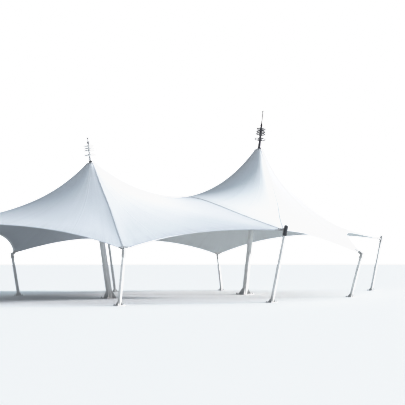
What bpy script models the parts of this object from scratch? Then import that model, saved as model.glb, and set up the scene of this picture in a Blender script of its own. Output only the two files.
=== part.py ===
"""Tensile membrane shade roof with two peaks, in metres, +Z up.

Two membrane cones of unlike height hang from two masts that lean apart. They meet along a
valley cable, and edge cables carry their scalloped rim between eight posts, which lean
outward and stand alternately low and high. The membrane's form is the balance of its own
tensions, worked out by relaxing a net of links.
"""

import math

import bmesh
import bpy
import numpy as np
from mathutils import Matrix, Vector

# Rim corners
TIP_REACH, TIP_HEIGHT = 14.73, 3.175
VALLEY_REACH, VALLEY_HEIGHT = 7.85, 3.06
LOW_REACH_X, LOW_REACH_Y, LOW_HEIGHT = 6.585, 5.94, 2.20

# Peaks and masts
PEAK_REACH = 5.10
PEAK_HEIGHT = {"left": 6.325, "right": 7.89}
PEAK_RADIUS = 0.25
MAST_FOOT_REACH = 4.05
MAST_RADIUS = 0.1365
MAST_ABOVE_PEAK = 0.035
MAST_BASE = (0.70, 0.03)
MAST_GUSSET = (0.18, 0.32, 0.016)

# Rim posts
POST_RADIUS = {"low": 0.070, "high": 0.072}
POST_LEAN = math.radians(17.0)
POST_SIDEWAYS = 0.25
POST_STANDOFF = 0.12
POST_BASE = (0.36, 0.02)
POST_GUSSET = (0.075, 0.14, 0.012)
HEAD_ABOVE = {"low": 0.06, "high": 0.20}
HEAD_BELOW, HEAD_SLEEVE = 0.24, 0.010

# Membrane, cables and corner plates
MEMBRANE_THICKNESS = 0.004
EDGE_CABLE_RADIUS, VALLEY_CABLE_RADIUS = 0.010, 0.012
PLATE_REACH, PLATE_THICKNESS = 0.28, 0.016
HUB_RADIUS, HUB_HEIGHT = 0.060, 0.12
TONGUE_SIZE = (0.07, 0.025)

# Peak fittings
RING_HEIGHT = 0.024
CAP_RADII, CAP_HEIGHT = (0.262, 0.13), 0.06
FINIAL_RADII = (0.080, 0.050)
COLLAR_RADIUS, COLLAR_SPAN = 0.105, (0.095, 0.145)
FINIAL_HOOPS = ((0.615, 0.285), (0.905, 0.240), (1.045, 0.240), (1.200, 0.235))
HOOP_BAR = 0.023
KNOB_SPAN, KNOB_RADIUS = (1.30, 1.50), 0.066
ROD_RADIUS, TIP_BALL_RADIUS = 0.031, 0.046
FINIAL_SCALE = {"left": 0.73, "right": 1.0}
FINIAL_TIP = {"left": 1.28, "right": 2.24}

# Clearance between touching pieces, and beside the ropes of a corner fitting's wings
GAP = 0.0003
WING_GAP = 0.004

# Net of links
RINGS = 10
SIDE_STEPS = (20, 8, 14, 14, 8)
RADIAL_TENSION = {"left": 1.00, "right": 1.15}
HOOP_STRESS = {"left": 2.75, "right": 2.45}
TOP_HOOP_SHARE = 0.20
SEAM_TENSION = 0.26
VALLEY_TENSION = 2.98
BAY_TENSION = {"left": 16.6, "right": 22.5}
END_TENSION = {"left": 14.2, "right": 16.1}
RELAX_ROUNDS = 16

CORNERS = {
    "right_tip": Vector((TIP_REACH, 0, TIP_HEIGHT)),
    "back_right": Vector((LOW_REACH_X, LOW_REACH_Y, LOW_HEIGHT)),
    "back_valley": Vector((0, VALLEY_REACH, VALLEY_HEIGHT)),
    "back_left": Vector((-LOW_REACH_X, LOW_REACH_Y, LOW_HEIGHT)),
    "left_tip": Vector((-TIP_REACH, 0, TIP_HEIGHT)),
    "front_left": Vector((-LOW_REACH_X, -LOW_REACH_Y, LOW_HEIGHT)),
    "front_valley": Vector((0, -VALLEY_REACH, VALLEY_HEIGHT)),
    "front_right": Vector((LOW_REACH_X, -LOW_REACH_Y, LOW_HEIGHT)),
}
LOW_CORNERS = ("back_right", "back_left", "front_left", "front_right")
CONES = {
    "left": ("front_valley", "back_valley", "back_left", "left_tip", "front_left"),
    "right": ("back_valley", "front_valley", "front_right", "right_tip", "back_right"),
}
SIGN = {"left": -1, "right": 1}


# Scene, collections and materials

def clear_scene():
    for thing in list(bpy.data.objects):
        bpy.data.objects.remove(thing, do_unlink=True)


def collection(name):
    group = bpy.data.collections.new(name)
    bpy.context.scene.collection.children.link(group)
    return group


def material(name, colour, roughness, metallic):
    finish = bpy.data.materials.new(name)
    finish.use_nodes = True
    shader = finish.node_tree.nodes["Principled BSDF"]
    shader.inputs["Base Color"].default_value = (*colour, 1)
    shader.inputs["Roughness"].default_value = roughness
    shader.inputs["Metallic"].default_value = metallic
    return finish


# Basic solids

def as_object(name, shape, finish=None):
    mesh = bpy.data.meshes.new(name)
    shape.normal_update()
    shape.to_mesh(mesh)
    shape.free()
    thing = bpy.data.objects.new(name, mesh)
    if finish:
        mesh.materials.append(finish)
        PARTS.objects.link(thing)
        mesh.shade_smooth()
        mesh.set_sharp_from_angle(angle=math.radians(35))
    else:
        as_cutter(thing)
    return thing


def as_cutter(thing):
    CUTTERS.objects.link(thing)
    thing.hide_render = True
    thing.display_type = "WIRE"
    return thing


def frame_along(axis, origin, side=Vector((1, 0, 0))):
    """Turn local Z to the axis and local X towards the side, at the origin."""
    z = axis.normalized()
    x = (side - z * side.dot(z)).normalized()
    y = z.cross(x)
    return Matrix.Translation(origin) @ Matrix((x, y, z)).transposed().to_4x4()


def rod(start, end, radius, sides=16, floor=None, end_radius=None):
    """A closed round bar from start to end, its foot cut level at the floor's height."""
    axis = end - start
    shape = bmesh.new()
    bmesh.ops.create_cone(
        shape, cap_ends=True, segments=sides, radius1=radius,
        radius2=radius if end_radius is None else end_radius, depth=axis.length,
        matrix=frame_along(axis, (start + end) / 2))
    if floor is not None:
        way = axis.normalized()
        for vert in shape.verts:
            if (vert.co - start).dot(way) < axis.length / 2:
                vert.co += way * ((floor - vert.co.z) / way.z)
    return shape


def box(size, place):
    shape = bmesh.new()
    bmesh.ops.create_cube(shape, size=1, matrix=place @ Matrix.Diagonal((*size, 1)))
    return shape


def plate_from_outline(name, outline, thickness, place):
    """A flat plate: a filled 2D curve given thickness, as a welded mesh."""
    curve = bpy.data.curves.new(name, "CURVE")
    curve.dimensions, curve.fill_mode, curve.extrude = "2D", "BOTH", thickness / 2
    line = curve.splines.new("POLY")
    line.points.add(len(outline) - 1)
    for point, (x, y) in zip(line.points, outline):
        point.co = (x, y, 0, 1)
    line.use_cyclic_u = True
    return welded(curve, place)


def welded(curve, place=Matrix.Identity(4)):
    """The curve's evaluated mesh with its caps welded on, as an unlinked bmesh."""
    holder = bpy.data.objects.new(curve.name, curve)
    bpy.context.scene.collection.objects.link(holder)
    view = bpy.context.evaluated_depsgraph_get()
    mesh = bpy.data.meshes.new_from_object(holder.evaluated_get(view))
    shape = bmesh.new()
    shape.from_mesh(mesh)
    bmesh.ops.remove_doubles(shape, verts=shape.verts, dist=0.00005)
    bmesh.ops.transform(shape, matrix=place, verts=shape.verts)
    bpy.data.objects.remove(holder, do_unlink=True)
    bpy.data.meshes.remove(mesh)
    return shape


def boolean(target, tool, operation, solver="EXACT"):
    cut = target.modifiers.new(operation.title(), "BOOLEAN")
    cut.operation, cut.solver, cut.object = operation, solver, tool


def weldment(name, shapes, finish):
    """The first shape joined with all the others into one solid."""
    thing = as_object(name, shapes[0], finish)
    for number, shape in enumerate(shapes[1:], 1):
        boolean(thing, as_object(f"{name}_weld_{number}", shape), "UNION")
    return thing


def turned(name, profile, place, finish, steps=16):
    """A closed solid turned about its local Z from a radius and height profile."""
    mesh = bpy.data.meshes.new(name)
    points = [(radius, 0, height) for radius, height in profile]
    mesh.from_pydata(points, [(i, i + 1) for i in range(len(points) - 1)], [])
    mesh.materials.append(finish)
    thing = bpy.data.objects.new(name, mesh)
    PARTS.objects.link(thing)
    thing.matrix_world = place
    screw = thing.modifiers.new("Turn", "SCREW")
    screw.steps = screw.render_steps = steps
    screw.use_merge_vertices, screw.merge_threshold = True, 0.0001
    screw.use_smooth_shade = True
    return thing


# Form of the membrane

class Net:
    """Nodes of both cones, with the links whose tensions shape the membrane."""

    def __init__(self):
        self.points, self.fixed, self.index = [], [], {}
        self.links = []

    def node(self, key, point, fixed):
        if key not in self.index:
            self.index[key] = len(self.points)
            self.points.append(point)
            self.fixed.append(fixed)
        return self.index[key]

    def settle(self, density):
        """Move the free nodes most of the way to balance under the force densities."""
        points, fixed, links = self.points, self.fixed, self.links
        slot = np.cumsum(~fixed) - 1
        count = slot[-1] + 1
        stiffness, load = np.zeros((count, count)), np.zeros((count, 3))
        for near, far in ((links[:, 0], links[:, 1]), (links[:, 1], links[:, 0])):
            moves = ~fixed[near]
            np.add.at(stiffness, (slot[near[moves]], slot[near[moves]]), density[moves])
            inner = moves & ~fixed[far]
            np.add.at(stiffness, (slot[near[inner]], slot[far[inner]]), -density[inner])
            outer = moves & fixed[far]
            np.add.at(load, slot[near[outer]], density[outer, None] * points[far[outer]])
        points[~fixed] += 0.75 * (np.linalg.solve(stiffness, load) - points[~fixed])


def side_places(steps):
    """Places along one side of the rim, closer together near its corners."""
    share = np.arange(steps) / steps
    return 0.5 * share + 0.25 * (1 - np.cos(np.pi * share))


def rim_columns(side):
    """Start point, side number and corner flag of each column of a cone's grid."""
    columns = []
    for number, steps in enumerate(SIDE_STEPS):
        start = np.array(CORNERS[CONES[side][number]])
        end = np.array(CORNERS[CONES[side][(number + 1) % len(SIDE_STEPS)]])
        for place in side_places(steps):
            columns.append((start + (end - start) * place, number, place == 0))
    return columns


def lay_cone(net, side):
    """Lay straight columns from the peak ring to the rim and number their nodes."""
    peak = np.array((SIGN[side] * PEAK_REACH, 0, PEAK_HEIGHT[side]))
    columns = rim_columns(side)
    first = -math.pi * SIDE_STEPS[0] / len(columns) + (math.pi if side == "right" else 0)
    grid = np.zeros((RINGS + 1, len(columns)), int)
    for column, (rim, number, corner) in enumerate(columns):
        angle = first + 2 * math.pi * column / len(columns)
        top = peak + PEAK_RADIUS * np.array((math.cos(angle), math.sin(angle), 0))
        for ring in range(RINGS + 1):
            key = (side, ring, column)
            on_valley = number == 0 or (number == 1 and corner)
            if ring == RINGS and on_valley:
                key = ("valley", column if side == "left" else SIDE_STEPS[0] - column)
            held = ring == 0 or (ring == RINGS and corner)
            grid[ring, column] = net.node(key, top + (rim - top) * ring / RINGS, held)
    return grid, columns


def ease_valley(points, cones):
    """Spread the fold at the valley cable over the two rings beside it."""
    steps = SIDE_STEPS[0]
    share = np.minimum(1, 1.5 * np.sin(np.pi * np.arange(steps + 1) / steps))[:, None]
    for grid, _ in cones.values():
        outer = points[grid[RINGS - 3:, :steps + 1]]
        eased = outer[1] + (outer[3] - outer[0]) / 3
        points[grid[RINGS - 1, :steps + 1]] += share * (eased - outer[2])


def form_find():
    """Relax the net and return its node positions and the grid of each cone."""
    net = Net()
    cones = {side: lay_cone(net, side) for side in CONES}
    net.points, net.fixed = np.array(net.points), np.array(net.fixed)
    radial, hoop, rope = [], [], []
    for side, (grid, columns) in cones.items():
        rim = np.array([column[0] for column in columns])
        corner = np.array([column[2] for column in columns])
        step = np.linalg.norm(np.roll(rim, -1, 0) - rim, axis=1)
        pull = RADIAL_TENSION[side] * (step + np.roll(step, 1)) / 2 + SEAM_TENSION * corner
        for ring in range(RINGS):
            radial += zip(grid[ring], grid[ring + 1], pull, [side] * len(columns))
        for ring in range(1, RINGS):
            share = TOP_HOOP_SHARE + (1 - TOP_HOOP_SHARE) * ring / RINGS
            stress = HOOP_STRESS[side] * share
            hoop += zip(grid[ring], np.roll(grid[ring], -1), grid[ring - 1], grid[ring + 1],
                        [stress] * len(columns))
        bay, end = BAY_TENSION[side], END_TENSION[side]
        tension = (VALLEY_TENSION / 2, bay, end, end, bay)
        for column, (_, number, _) in enumerate(columns):
            rope.append((grid[RINGS, column], grid[RINGS, (column + 1) % len(columns)],
                         tension[number], number + len(SIDE_STEPS) * (side == "right")))
    net.links = np.array([link[:2] for link in radial + hoop + rope])
    pull = np.array([link[2] for link in radial]).reshape(len(CONES), RINGS, -1)
    above, below = (np.array([link[i] for link in hoop]) for i in (2, 3))
    stress = np.array([link[4] for link in hoop])
    tension = np.array([link[2] for link in rope])
    owner = np.array([link[3] for link in rope])

    def length(a, b):
        return np.linalg.norm(net.points[a] - net.points[b], axis=1)

    for _ in range(RELAX_ROUNDS):
        span = length(net.links[:, 0], net.links[:, 1])
        along = span[:len(radial)].reshape(pull.shape).mean(axis=1, keepdims=True)
        across = span[len(radial):len(radial) + len(hoop)]
        whole = np.bincount(owner, span[len(radial) + len(hoop):]) / np.bincount(owner)
        net.settle(np.concatenate((
            (pull / along).ravel(),
            stress * length(above, below) / 2 / across,
            tension / whole[owner])))
    ease_valley(net.points, cones)
    return net.points, {side: grid for side, (grid, _) in cones.items()}


# Corner geometry

class Corner:
    """A rim corner with its inward and normal directions and its post's line."""

    def __init__(self, name, ropes):
        self.name = name
        self.point = CORNERS[name]
        ropes = sorted(ropes, key=lambda rope: len(rope) == SIDE_STEPS[0] + 1)
        ways = [(rope[1] - rope[0]).normalized() for rope in ropes]
        self.inward = (ways[0] + ways[1]).normalized()
        self.normal = ways[0].cross(ways[1]).normalized()
        if self.normal.z < 0:
            self.normal = -self.normal
        level = "low" if name in LOW_CORNERS else "high"
        self.radius, self.head_above = POST_RADIUS[level], HEAD_ABOVE[level]
        outward = Vector((math.copysign(1, self.point.x) if "tip" in name else 0,
                          0 if "tip" in name else math.copysign(1, self.point.y), 0))
        if name in LOW_CORNERS:
            outward.x = math.copysign(POST_SIDEWAYS, self.point.x)
        outward.normalize()
        self.post_way = outward * math.sin(POST_LEAN) + Vector((0, 0, math.cos(POST_LEAN)))
        self.post_point = self.point - self.inward * POST_STANDOFF
        self.foot = self.post_point - self.post_way * (self.post_point.z / self.post_way.z)

    def hub(self):
        half = self.normal * (HUB_HEIGHT / 2)
        return rod(self.point - half, self.point + half, HUB_RADIUS, sides=20)

    def disc(self, radius):
        half = self.normal * 0.25
        return rod(self.point - half, self.point + half, radius, sides=32)

    def head(self):
        """The closed sleeve over the post's top, its upper rim rounded."""
        low = self.post_point - self.post_way * HEAD_BELOW
        high = self.post_point + self.post_way * self.head_above
        shape = rod(low, high, self.radius + HEAD_SLEEVE)
        rim = [edge for edge in shape.edges if all(
            (vert.co - high).dot(self.post_way) > -0.001 for vert in edge.verts)]
        bmesh.ops.bevel(shape, geom=rim, offset=0.03, segments=3, profile=0.5,
                        affect="EDGES")
        return shape


def rope_lines(points, grids):
    """The lines of the eight rim ropes and the valley rope, keyed by their two corners."""
    lines = {}
    for side, grid in grids.items():
        start = 0
        rim = [Vector(points[node]) for node in grid[RINGS]]
        for number, steps in enumerate(SIDE_STEPS):
            ends = (CONES[side][number], CONES[side][(number + 1) % len(SIDE_STEPS)])
            line = [rim[(start + i) % len(rim)] for i in range(steps + 1)]
            start += steps
            if number or side == "left":
                lines[ends] = line
    return lines


def make_corners(lines):
    corners = {}
    for name in CORNERS:
        ropes = [line if ends[0] == name else line[::-1]
                 for ends, line in lines.items() if name in ends]
        corners[name] = Corner(name, ropes)
    return corners


# Membrane, cables and corner plates

def membrane_surface(points, grid, side, gap):
    """The cone's open surface, set back from the ropes by a gap."""
    place = points[grid].copy()
    rim, inner = place[RINGS], place[RINGS - 1]
    reach = np.full(len(rim), EDGE_CABLE_RADIUS + gap)
    reach[:SIDE_STEPS[0]] = VALLEY_CABLE_RADIUS + gap
    ahead = np.roll(rim, -1, 0) - rim
    ahead /= np.linalg.norm(ahead, axis=1)[:, None]
    inward = []
    for column in range(len(rim)):
        way = ahead[column]
        aim = inner[column] + inner[(column + 1) % len(rim)] - 2 * rim[column]
        aim -= way * (aim @ way)
        inward.append(aim / np.linalg.norm(aim))
    inward = np.array(inward)
    for column in range(len(rim)):
        before, after = inward[column - 1], inward[column]
        lines = np.array((before, after, np.cross(before, after)))
        target = np.array((reach[column - 1], reach[column], 0))
        if np.linalg.norm(lines[2]) < 0.02:
            place[RINGS, column] += (before + after) / (1 + before @ after) * target[:2].max()
        else:
            place[RINGS, column] += np.linalg.solve(lines, target)
    shape = bmesh.new()
    verts = [[shape.verts.new(point) for point in row] for row in place]
    for ring in range(RINGS):
        for column in range(len(rim)):
            ahead_column = (column + 1) % len(rim)
            shape.faces.new((verts[ring][column], verts[ring + 1][column],
                             verts[ring + 1][ahead_column], verts[ring][ahead_column]))
    bmesh.ops.triangulate(shape, faces=shape.faces, quad_method="SHORT_EDGE")
    mesh = bpy.data.meshes.new(f"{side}_surface")
    shape.to_mesh(mesh)
    shape.free()
    return mesh


def thicken(thing, thickness):
    shell = thing.modifiers.new("Thickness", "SOLIDIFY")
    shell.thickness, shell.offset = thickness, 0


def make_membrane(side, surface, corners, finish):
    thing = bpy.data.objects.new(f"{side}_membrane", surface)
    thing.data.materials.append(finish)
    PARTS.objects.link(thing)
    thicken(thing, MEMBRANE_THICKNESS)
    for name in CONES[side]:
        cutter = as_object(f"{side}_{name}_clip", corners[name].disc(PLATE_REACH + GAP))
        boolean(thing, cutter, "DIFFERENCE")


def make_corner_fitting(corner, surfaces, finish):
    """The post's head sleeve, a tongue, a hub for the rope ends and membrane wings."""
    width, thickness = TONGUE_SIZE
    middle = corner.point - corner.inward * POST_STANDOFF / 2
    tongue = box((POST_STANDOFF, width, thickness),
                 frame_along(corner.normal, middle, corner.inward))
    plate = weldment(f"corner_fitting_{corner.name}", [corner.head(), tongue, corner.hub()],
                     finish)
    for side, surface in surfaces.items():
        if corner.name in CONES[side]:
            wing = as_cutter(bpy.data.objects.new(f"{side}_{corner.name}_wing", surface))
            thicken(wing, PLATE_THICKNESS)
            disc = as_object(f"{side}_{corner.name}_disc", corner.disc(PLATE_REACH - GAP))
            boolean(wing, disc, "INTERSECT")
            boolean(plate, wing, "UNION", "MANIFOLD")


def rope_radius(line):
    return VALLEY_CABLE_RADIUS if len(line) == SIDE_STEPS[0] + 1 else EDGE_CABLE_RADIUS


def rope_start(corner, line, radius):
    """Where a rope that runs from this corner along the line meets the hub's face."""
    way = (line[1] - line[0]).normalized()
    tilt = math.asin(abs(way.dot(corner.normal)))
    draw_back = (HUB_RADIUS + GAP + radius * math.sin(tilt)) / math.cos(tilt)
    return line[0] + way * draw_back


def make_rope(name, line, corners, radius, finish):
    """A wire rope between the hubs of its two corners."""
    start = rope_start(corners[0], line, radius)
    end = rope_start(corners[1], line[::-1], radius)
    line = [start] + line[1:-1] + [end]
    curve = bpy.data.curves.new(name, "CURVE")
    curve.dimensions, curve.bevel_depth, curve.bevel_resolution = "3D", radius, 3
    curve.use_fill_caps = True
    spline = curve.splines.new("POLY")
    spline.points.add(len(line) - 1)
    for point, place in zip(spline.points, line):
        point.co = (*place, 1)
    as_object(name, welded(curve), finish)


# Posts and masts

def base_with_gussets(foot, radius, base, gusset, lean):
    """A square base plate and four gussets that stiffen the foot of a leaning tube."""
    size, thickness = base
    reach, height, leaf = gusset
    shapes = [box((size, size, thickness),
                  Matrix.Translation((foot.x, foot.y, thickness / 2)))]
    outline = ((0, -thickness / 2), (radius + reach, -thickness / 2), (radius + reach, 0.02),
               (radius + 0.01, height), (0, height))
    for quarter in range(4):
        turn = Matrix.Rotation(math.pi * (quarter / 2 + 0.25), 4, "Z")
        upright = Matrix.Rotation(math.pi / 2, 4, "X")
        place = Matrix.Translation((foot.x, foot.y, thickness)) @ turn @ upright
        shapes.append(plate_from_outline("gusset", outline, leaf, place))
        top = shapes[-1]
        for vert in top.verts:
            vert.co += lean * (max(0, vert.co.z - thickness) / lean.z) - Vector(
                (0, 0, max(0, vert.co.z - thickness)))
    return shapes


def make_post(corner, finish):
    top = corner.post_point - corner.post_way * (HEAD_BELOW + GAP)
    half_plate = POST_BASE[1] / 2
    start = corner.foot + corner.post_way * half_plate
    tube = rod(start, top, corner.radius, floor=half_plate)
    shapes = base_with_gussets(corner.foot, corner.radius, POST_BASE, POST_GUSSET,
                               corner.post_way)
    weldment(f"post_{corner.name}", [tube] + shapes, finish)


class Peak:
    """A mast's line through its peak, with the solids cut around it."""

    def __init__(self, side):
        self.side = side
        self.point = Vector((SIGN[side] * PEAK_REACH, 0, PEAK_HEIGHT[side]))
        self.foot = Vector((SIGN[side] * MAST_FOOT_REACH, 0, 0))
        self.way = (self.point - self.foot).normalized()
        self.top = self.point + self.way * MAST_ABOVE_PEAK

    def place(self):
        return frame_along(self.way, self.point)

    def mast_bore(self):
        return rod(self.point - self.way * 0.5, self.top + self.way * GAP,
                   MAST_RADIUS + GAP, sides=24)


def make_mast(peak, finish):
    half_plate = MAST_BASE[1] / 2
    tube = rod(peak.foot + peak.way * half_plate, peak.top, MAST_RADIUS, sides=24,
               floor=half_plate)
    shapes = base_with_gussets(peak.foot, MAST_RADIUS, MAST_BASE, MAST_GUSSET, peak.way)
    weldment(f"{peak.side}_mast", [tube] + shapes, finish)


def make_peak_ring(peak, finish):
    """The flat ring on the mast that the membrane's upper hem is clamped to."""
    radius = (PEAK_RADIUS - MEMBRANE_THICKNESS / 2) * math.cos(
        math.pi / sum(SIDE_STEPS)) - GAP
    half = Vector((0, 0, RING_HEIGHT / 2))
    shape = rod(peak.point - half, peak.point + half, radius, sides=sum(SIDE_STEPS))
    ring = as_object(f"{peak.side}_peak_ring", shape, finish)
    boolean(ring, as_object(f"{peak.side}_ring_bore", peak.mast_bore()), "DIFFERENCE")


def make_cap(peak, finish):
    """The low cone that sheds rain off the ring, bored for the mast and the finial."""
    low = peak.point + Vector((0, 0, RING_HEIGHT / 2 + GAP))
    high = low + Vector((0, 0, CAP_HEIGHT))
    cap = as_object(f"{peak.side}_rain_cap",
                    rod(low, high, CAP_RADII[0], sides=32, end_radius=CAP_RADII[1]), finish)
    boolean(cap, as_object(f"{peak.side}_cap_bore", peak.mast_bore()), "DIFFERENCE")
    bore = rod(peak.point, peak.point + peak.way * 0.4, FINIAL_RADII[0] + GAP)
    boolean(cap, as_object(f"{peak.side}_finial_bore", bore), "DIFFERENCE")


def make_finial(peak, steel, dark):
    """A tapering tube with a foot collar and spoked hoops, then a knob and a thin rod."""
    scale, tip = FINIAL_SCALE[peak.side], FINIAL_TIP[peak.side]
    base = MAST_ABOVE_PEAK + GAP
    low, high = COLLAR_SPAN
    wide, narrow = FINIAL_RADII
    top = KNOB_SPAN[0] * scale
    tube = turned(f"{peak.side}_finial_tube",
                  ((0, top), (narrow, top), (wide, high), (COLLAR_RADIUS, high),
                   (COLLAR_RADIUS, low), (wide, low), (wide, base), (0, base)),
                  peak.place(), steel)
    for number, (height, radius) in enumerate(FINIAL_HOOPS):
        add_hoop(tube, number, peak, height * scale, radius * (0.5 + scale / 2))
    start, end = top + GAP, KNOB_SPAN[1] * scale
    belly = (start + end) / 2
    ball = tip - TIP_BALL_RADIUS
    turned(f"{peak.side}_finial_rod",
           ((0, tip), (TIP_BALL_RADIUS * 0.7, tip - TIP_BALL_RADIUS * 0.3),
            (TIP_BALL_RADIUS, ball), (TIP_BALL_RADIUS * 0.7, ball - TIP_BALL_RADIUS * 0.7),
            (ROD_RADIUS * 0.8, ball - TIP_BALL_RADIUS * 0.9), (ROD_RADIUS, end),
            (KNOB_RADIUS, belly + 0.02), (KNOB_RADIUS, belly - 0.02),
            (narrow * 0.8, start), (0, start)),
           peak.place(), dark)


def add_hoop(tube, number, peak, height, radius):
    """Weld one round hoop and its two crossed spokes to the finial tube."""
    bpy.ops.mesh.primitive_torus_add(major_radius=radius, minor_radius=HOOP_BAR,
                                     major_segments=18, minor_segments=6)
    hoop = bpy.context.object
    hoop.name = f"{tube.name}_hoop_{number}"
    hoop.matrix_world = peak.place() @ Matrix.Translation((0, 0, height))
    for group in hoop.users_collection:
        group.objects.unlink(hoop)
    boolean(tube, as_cutter(hoop), "UNION")
    middle = peak.point + peak.way * height
    for arm in range(2):
        angle = math.pi * (arm / 2 + 1 / 18 + number / 9)
        along = peak.place().to_3x3() @ Vector((math.cos(angle), math.sin(angle), 0)) * radius
        spoke = rod(middle - along, middle + along, HOOP_BAR * 0.6, sides=6)
        boolean(tube, as_object(f"{hoop.name}_spoke_{arm}", spoke), "UNION")


clear_scene()
PARTS = collection("tensile_membrane_shade_roof")
CUTTERS = collection("cutters")


def build():
    white = material("white_membrane", (0.82, 0.85, 0.88), 0.55, 0.0)
    steel = material("painted_steel", (0.62, 0.63, 0.64), 0.45, 0.6)
    dark = material("dark_steel", (0.10, 0.11, 0.12), 0.40, 0.8)
    rope = material("wire_rope", (0.45, 0.46, 0.47), 0.35, 0.9)
    cap = material("cap_sheet", (0.55, 0.57, 0.60), 0.35, 0.8)

    points, grids = form_find()
    lines = rope_lines(points, grids)
    corners = make_corners(lines)

    for side, grid in grids.items():
        make_membrane(side, membrane_surface(points, grid, side, GAP), corners, white)
    wings = {side: membrane_surface(points, grid, side, WING_GAP)
             for side, grid in grids.items()}
    for ends, line in lines.items():
        name = "valley_cable" if ends == CONES["left"][:2] else "edge_cable_{}_to_{}".format(*ends)
        make_rope(name, line, [corners[end] for end in ends], rope_radius(line), rope)
    for corner in corners.values():
        make_corner_fitting(corner, wings, dark if corner.name in CONES["left"][:2] else steel)
        make_post(corner, steel)
    for side in CONES:
        peak = Peak(side)
        make_mast(peak, steel)
        make_peak_ring(peak, steel)
        make_cap(peak, cap)
        make_finial(peak, steel, dark)


build()
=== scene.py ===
"""Dresses the two-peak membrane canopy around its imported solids.

The cloth is worked out again from the balance of its tensions, then smoothed, seamed and
hemmed. Cables, fittings, posts, masts and finials are finished as made pieces.
"""

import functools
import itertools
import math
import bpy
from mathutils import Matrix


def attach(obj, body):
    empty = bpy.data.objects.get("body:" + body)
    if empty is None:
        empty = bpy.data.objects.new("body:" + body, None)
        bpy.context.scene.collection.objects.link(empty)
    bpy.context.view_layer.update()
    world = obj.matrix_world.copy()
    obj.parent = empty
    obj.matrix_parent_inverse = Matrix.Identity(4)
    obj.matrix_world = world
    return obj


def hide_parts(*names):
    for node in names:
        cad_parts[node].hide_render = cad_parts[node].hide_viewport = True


bl_info = {
    "name": "Two-Peak Membrane Canopy",
    "version": (1, 0, 0),
    "blender": (4, 5, 0),
    "location": "View3D > Sidebar > Canopy",
    "description": "Cloth, hems, cables, fittings, posts, masts and finials of a tensile canopy",
    "category": "Mesh",
}

import bmesh
import bpy
import numpy as np
from mathutils import Matrix, Vector

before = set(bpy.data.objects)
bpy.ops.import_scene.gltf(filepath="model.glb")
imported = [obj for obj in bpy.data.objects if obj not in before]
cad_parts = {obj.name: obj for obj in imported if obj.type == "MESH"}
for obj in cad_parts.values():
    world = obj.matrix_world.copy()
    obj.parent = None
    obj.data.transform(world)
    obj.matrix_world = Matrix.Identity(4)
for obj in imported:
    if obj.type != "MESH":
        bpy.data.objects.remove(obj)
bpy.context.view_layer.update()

# Rim corners, peaks and masts, as the solids have them
TIP_REACH, TIP_HEIGHT = 14.73, 3.175
VALLEY_REACH, VALLEY_HEIGHT = 7.85, 3.06
LOW_REACH_X, LOW_REACH_Y, LOW_HEIGHT = 6.585, 5.94, 2.20
PEAK_REACH = 5.10
PEAK_HEIGHT = {"left": 6.325, "right": 7.89}
PEAK_RADIUS = 0.25
MAST_FOOT_REACH = 4.05
MAST_RADIUS = 0.1365
MAST_ABOVE_PEAK = 0.035
MAST_BASE = (0.70, 0.03)
MAST_GUSSET = (0.18, 0.32, 0.016)
MAST_ANCHOR, POST_ANCHOR = 1.25, 0.85
POST_RADIUS = {"low": 0.070, "high": 0.072}
POST_LEAN = math.radians(17.0)
POST_SIDEWAYS = 0.25
POST_STANDOFF = 0.12
POST_BASE = (0.36, 0.02)
POST_GUSSET = (0.075, 0.14, 0.012)
HEAD_ABOVE = {"low": 0.06, "high": 0.20}
HEAD_BELOW, HEAD_SLEEVE = 0.24, 0.010
GAP = 0.0003

# Cables, corner plates and peak fittings
EDGE_CABLE_RADIUS, VALLEY_CABLE_RADIUS = 0.010, 0.012
ROPE_CUT, SWAGE_LENGTH = 0.09, 0.15
PLATE_REACH = 0.28
CLAMP_RADII = (0.070, 0.09, 0.12, 0.16, 0.20, 0.235, 0.262, 0.276, PLATE_REACH)
CLAMP_MARGIN, CLAMP_ROUND, CLAMP_THICKNESS = 0.024, 0.040, 0.007
CLAMP_LIFTS = (0.0085, -0.0045)
HUB_RADIUS, HUB_NECK, HUB_HEIGHT, HUB_BOLT = 0.060, 0.052, 0.12, 0.012
TONGUE_SIZE = (0.07, 0.025)
BAND_DROP, BAND_HALF, BAND_DEPTH = 0.16, 0.035, 0.006
RING_HEIGHT, RING_RADIUS, RING_BAND = 0.024, 0.2445, (0.2535, 0.259)
RING_BOLTS, COLLAR_BOLTS = 16, 6
CROWN_RIBS, CROWN_REACH, CROWN_DROP = 8, 0.215, 0.22
CAP_RADII, CAP_HEIGHT = (0.262, 0.13), 0.06
FINIAL_RADII = (0.080, 0.050)
COLLAR_RADIUS, COLLAR_SPAN = 0.105, (0.095, 0.145)
FINIAL_HOOPS = ((0.615, 0.285), (0.905, 0.240), (1.045, 0.240), (1.200, 0.235))
HOOP_BAR = 0.023
KNOB_SPAN, KNOB_RADIUS = (1.30, 1.50), 0.066
ROD_RADIUS, TIP_BALL_RADIUS = 0.031, 0.046
FINIAL_SCALE = {"left": 0.73, "right": 1.0}
FINIAL_TIP = {"left": 1.28, "right": 2.24}

# Net of links and the tensions in it
RINGS = 10
SIDE_STEPS = (20, 8, 14, 14, 8)
RADIAL_TENSION = {"left": 1.00, "right": 1.15}
HOOP_STRESS = {"left": 2.75, "right": 2.45}
TOP_HOOP_SHARE = 0.20
SEAM_TENSION = 0.26
VALLEY_TENSION = 2.98
BAY_TENSION = {"left": 16.6, "right": 22.5}
END_TENSION = {"left": 14.2, "right": 16.1}
RELAX_ROUNDS = 16

# Fineness of the smoothed cloth, and its gores on each side of the rim
ROW_PARTS, COLUMN_PARTS, RING_PARTS = 4, 4, 8
GORES = (8, 4, 4, 4, 4)

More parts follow.
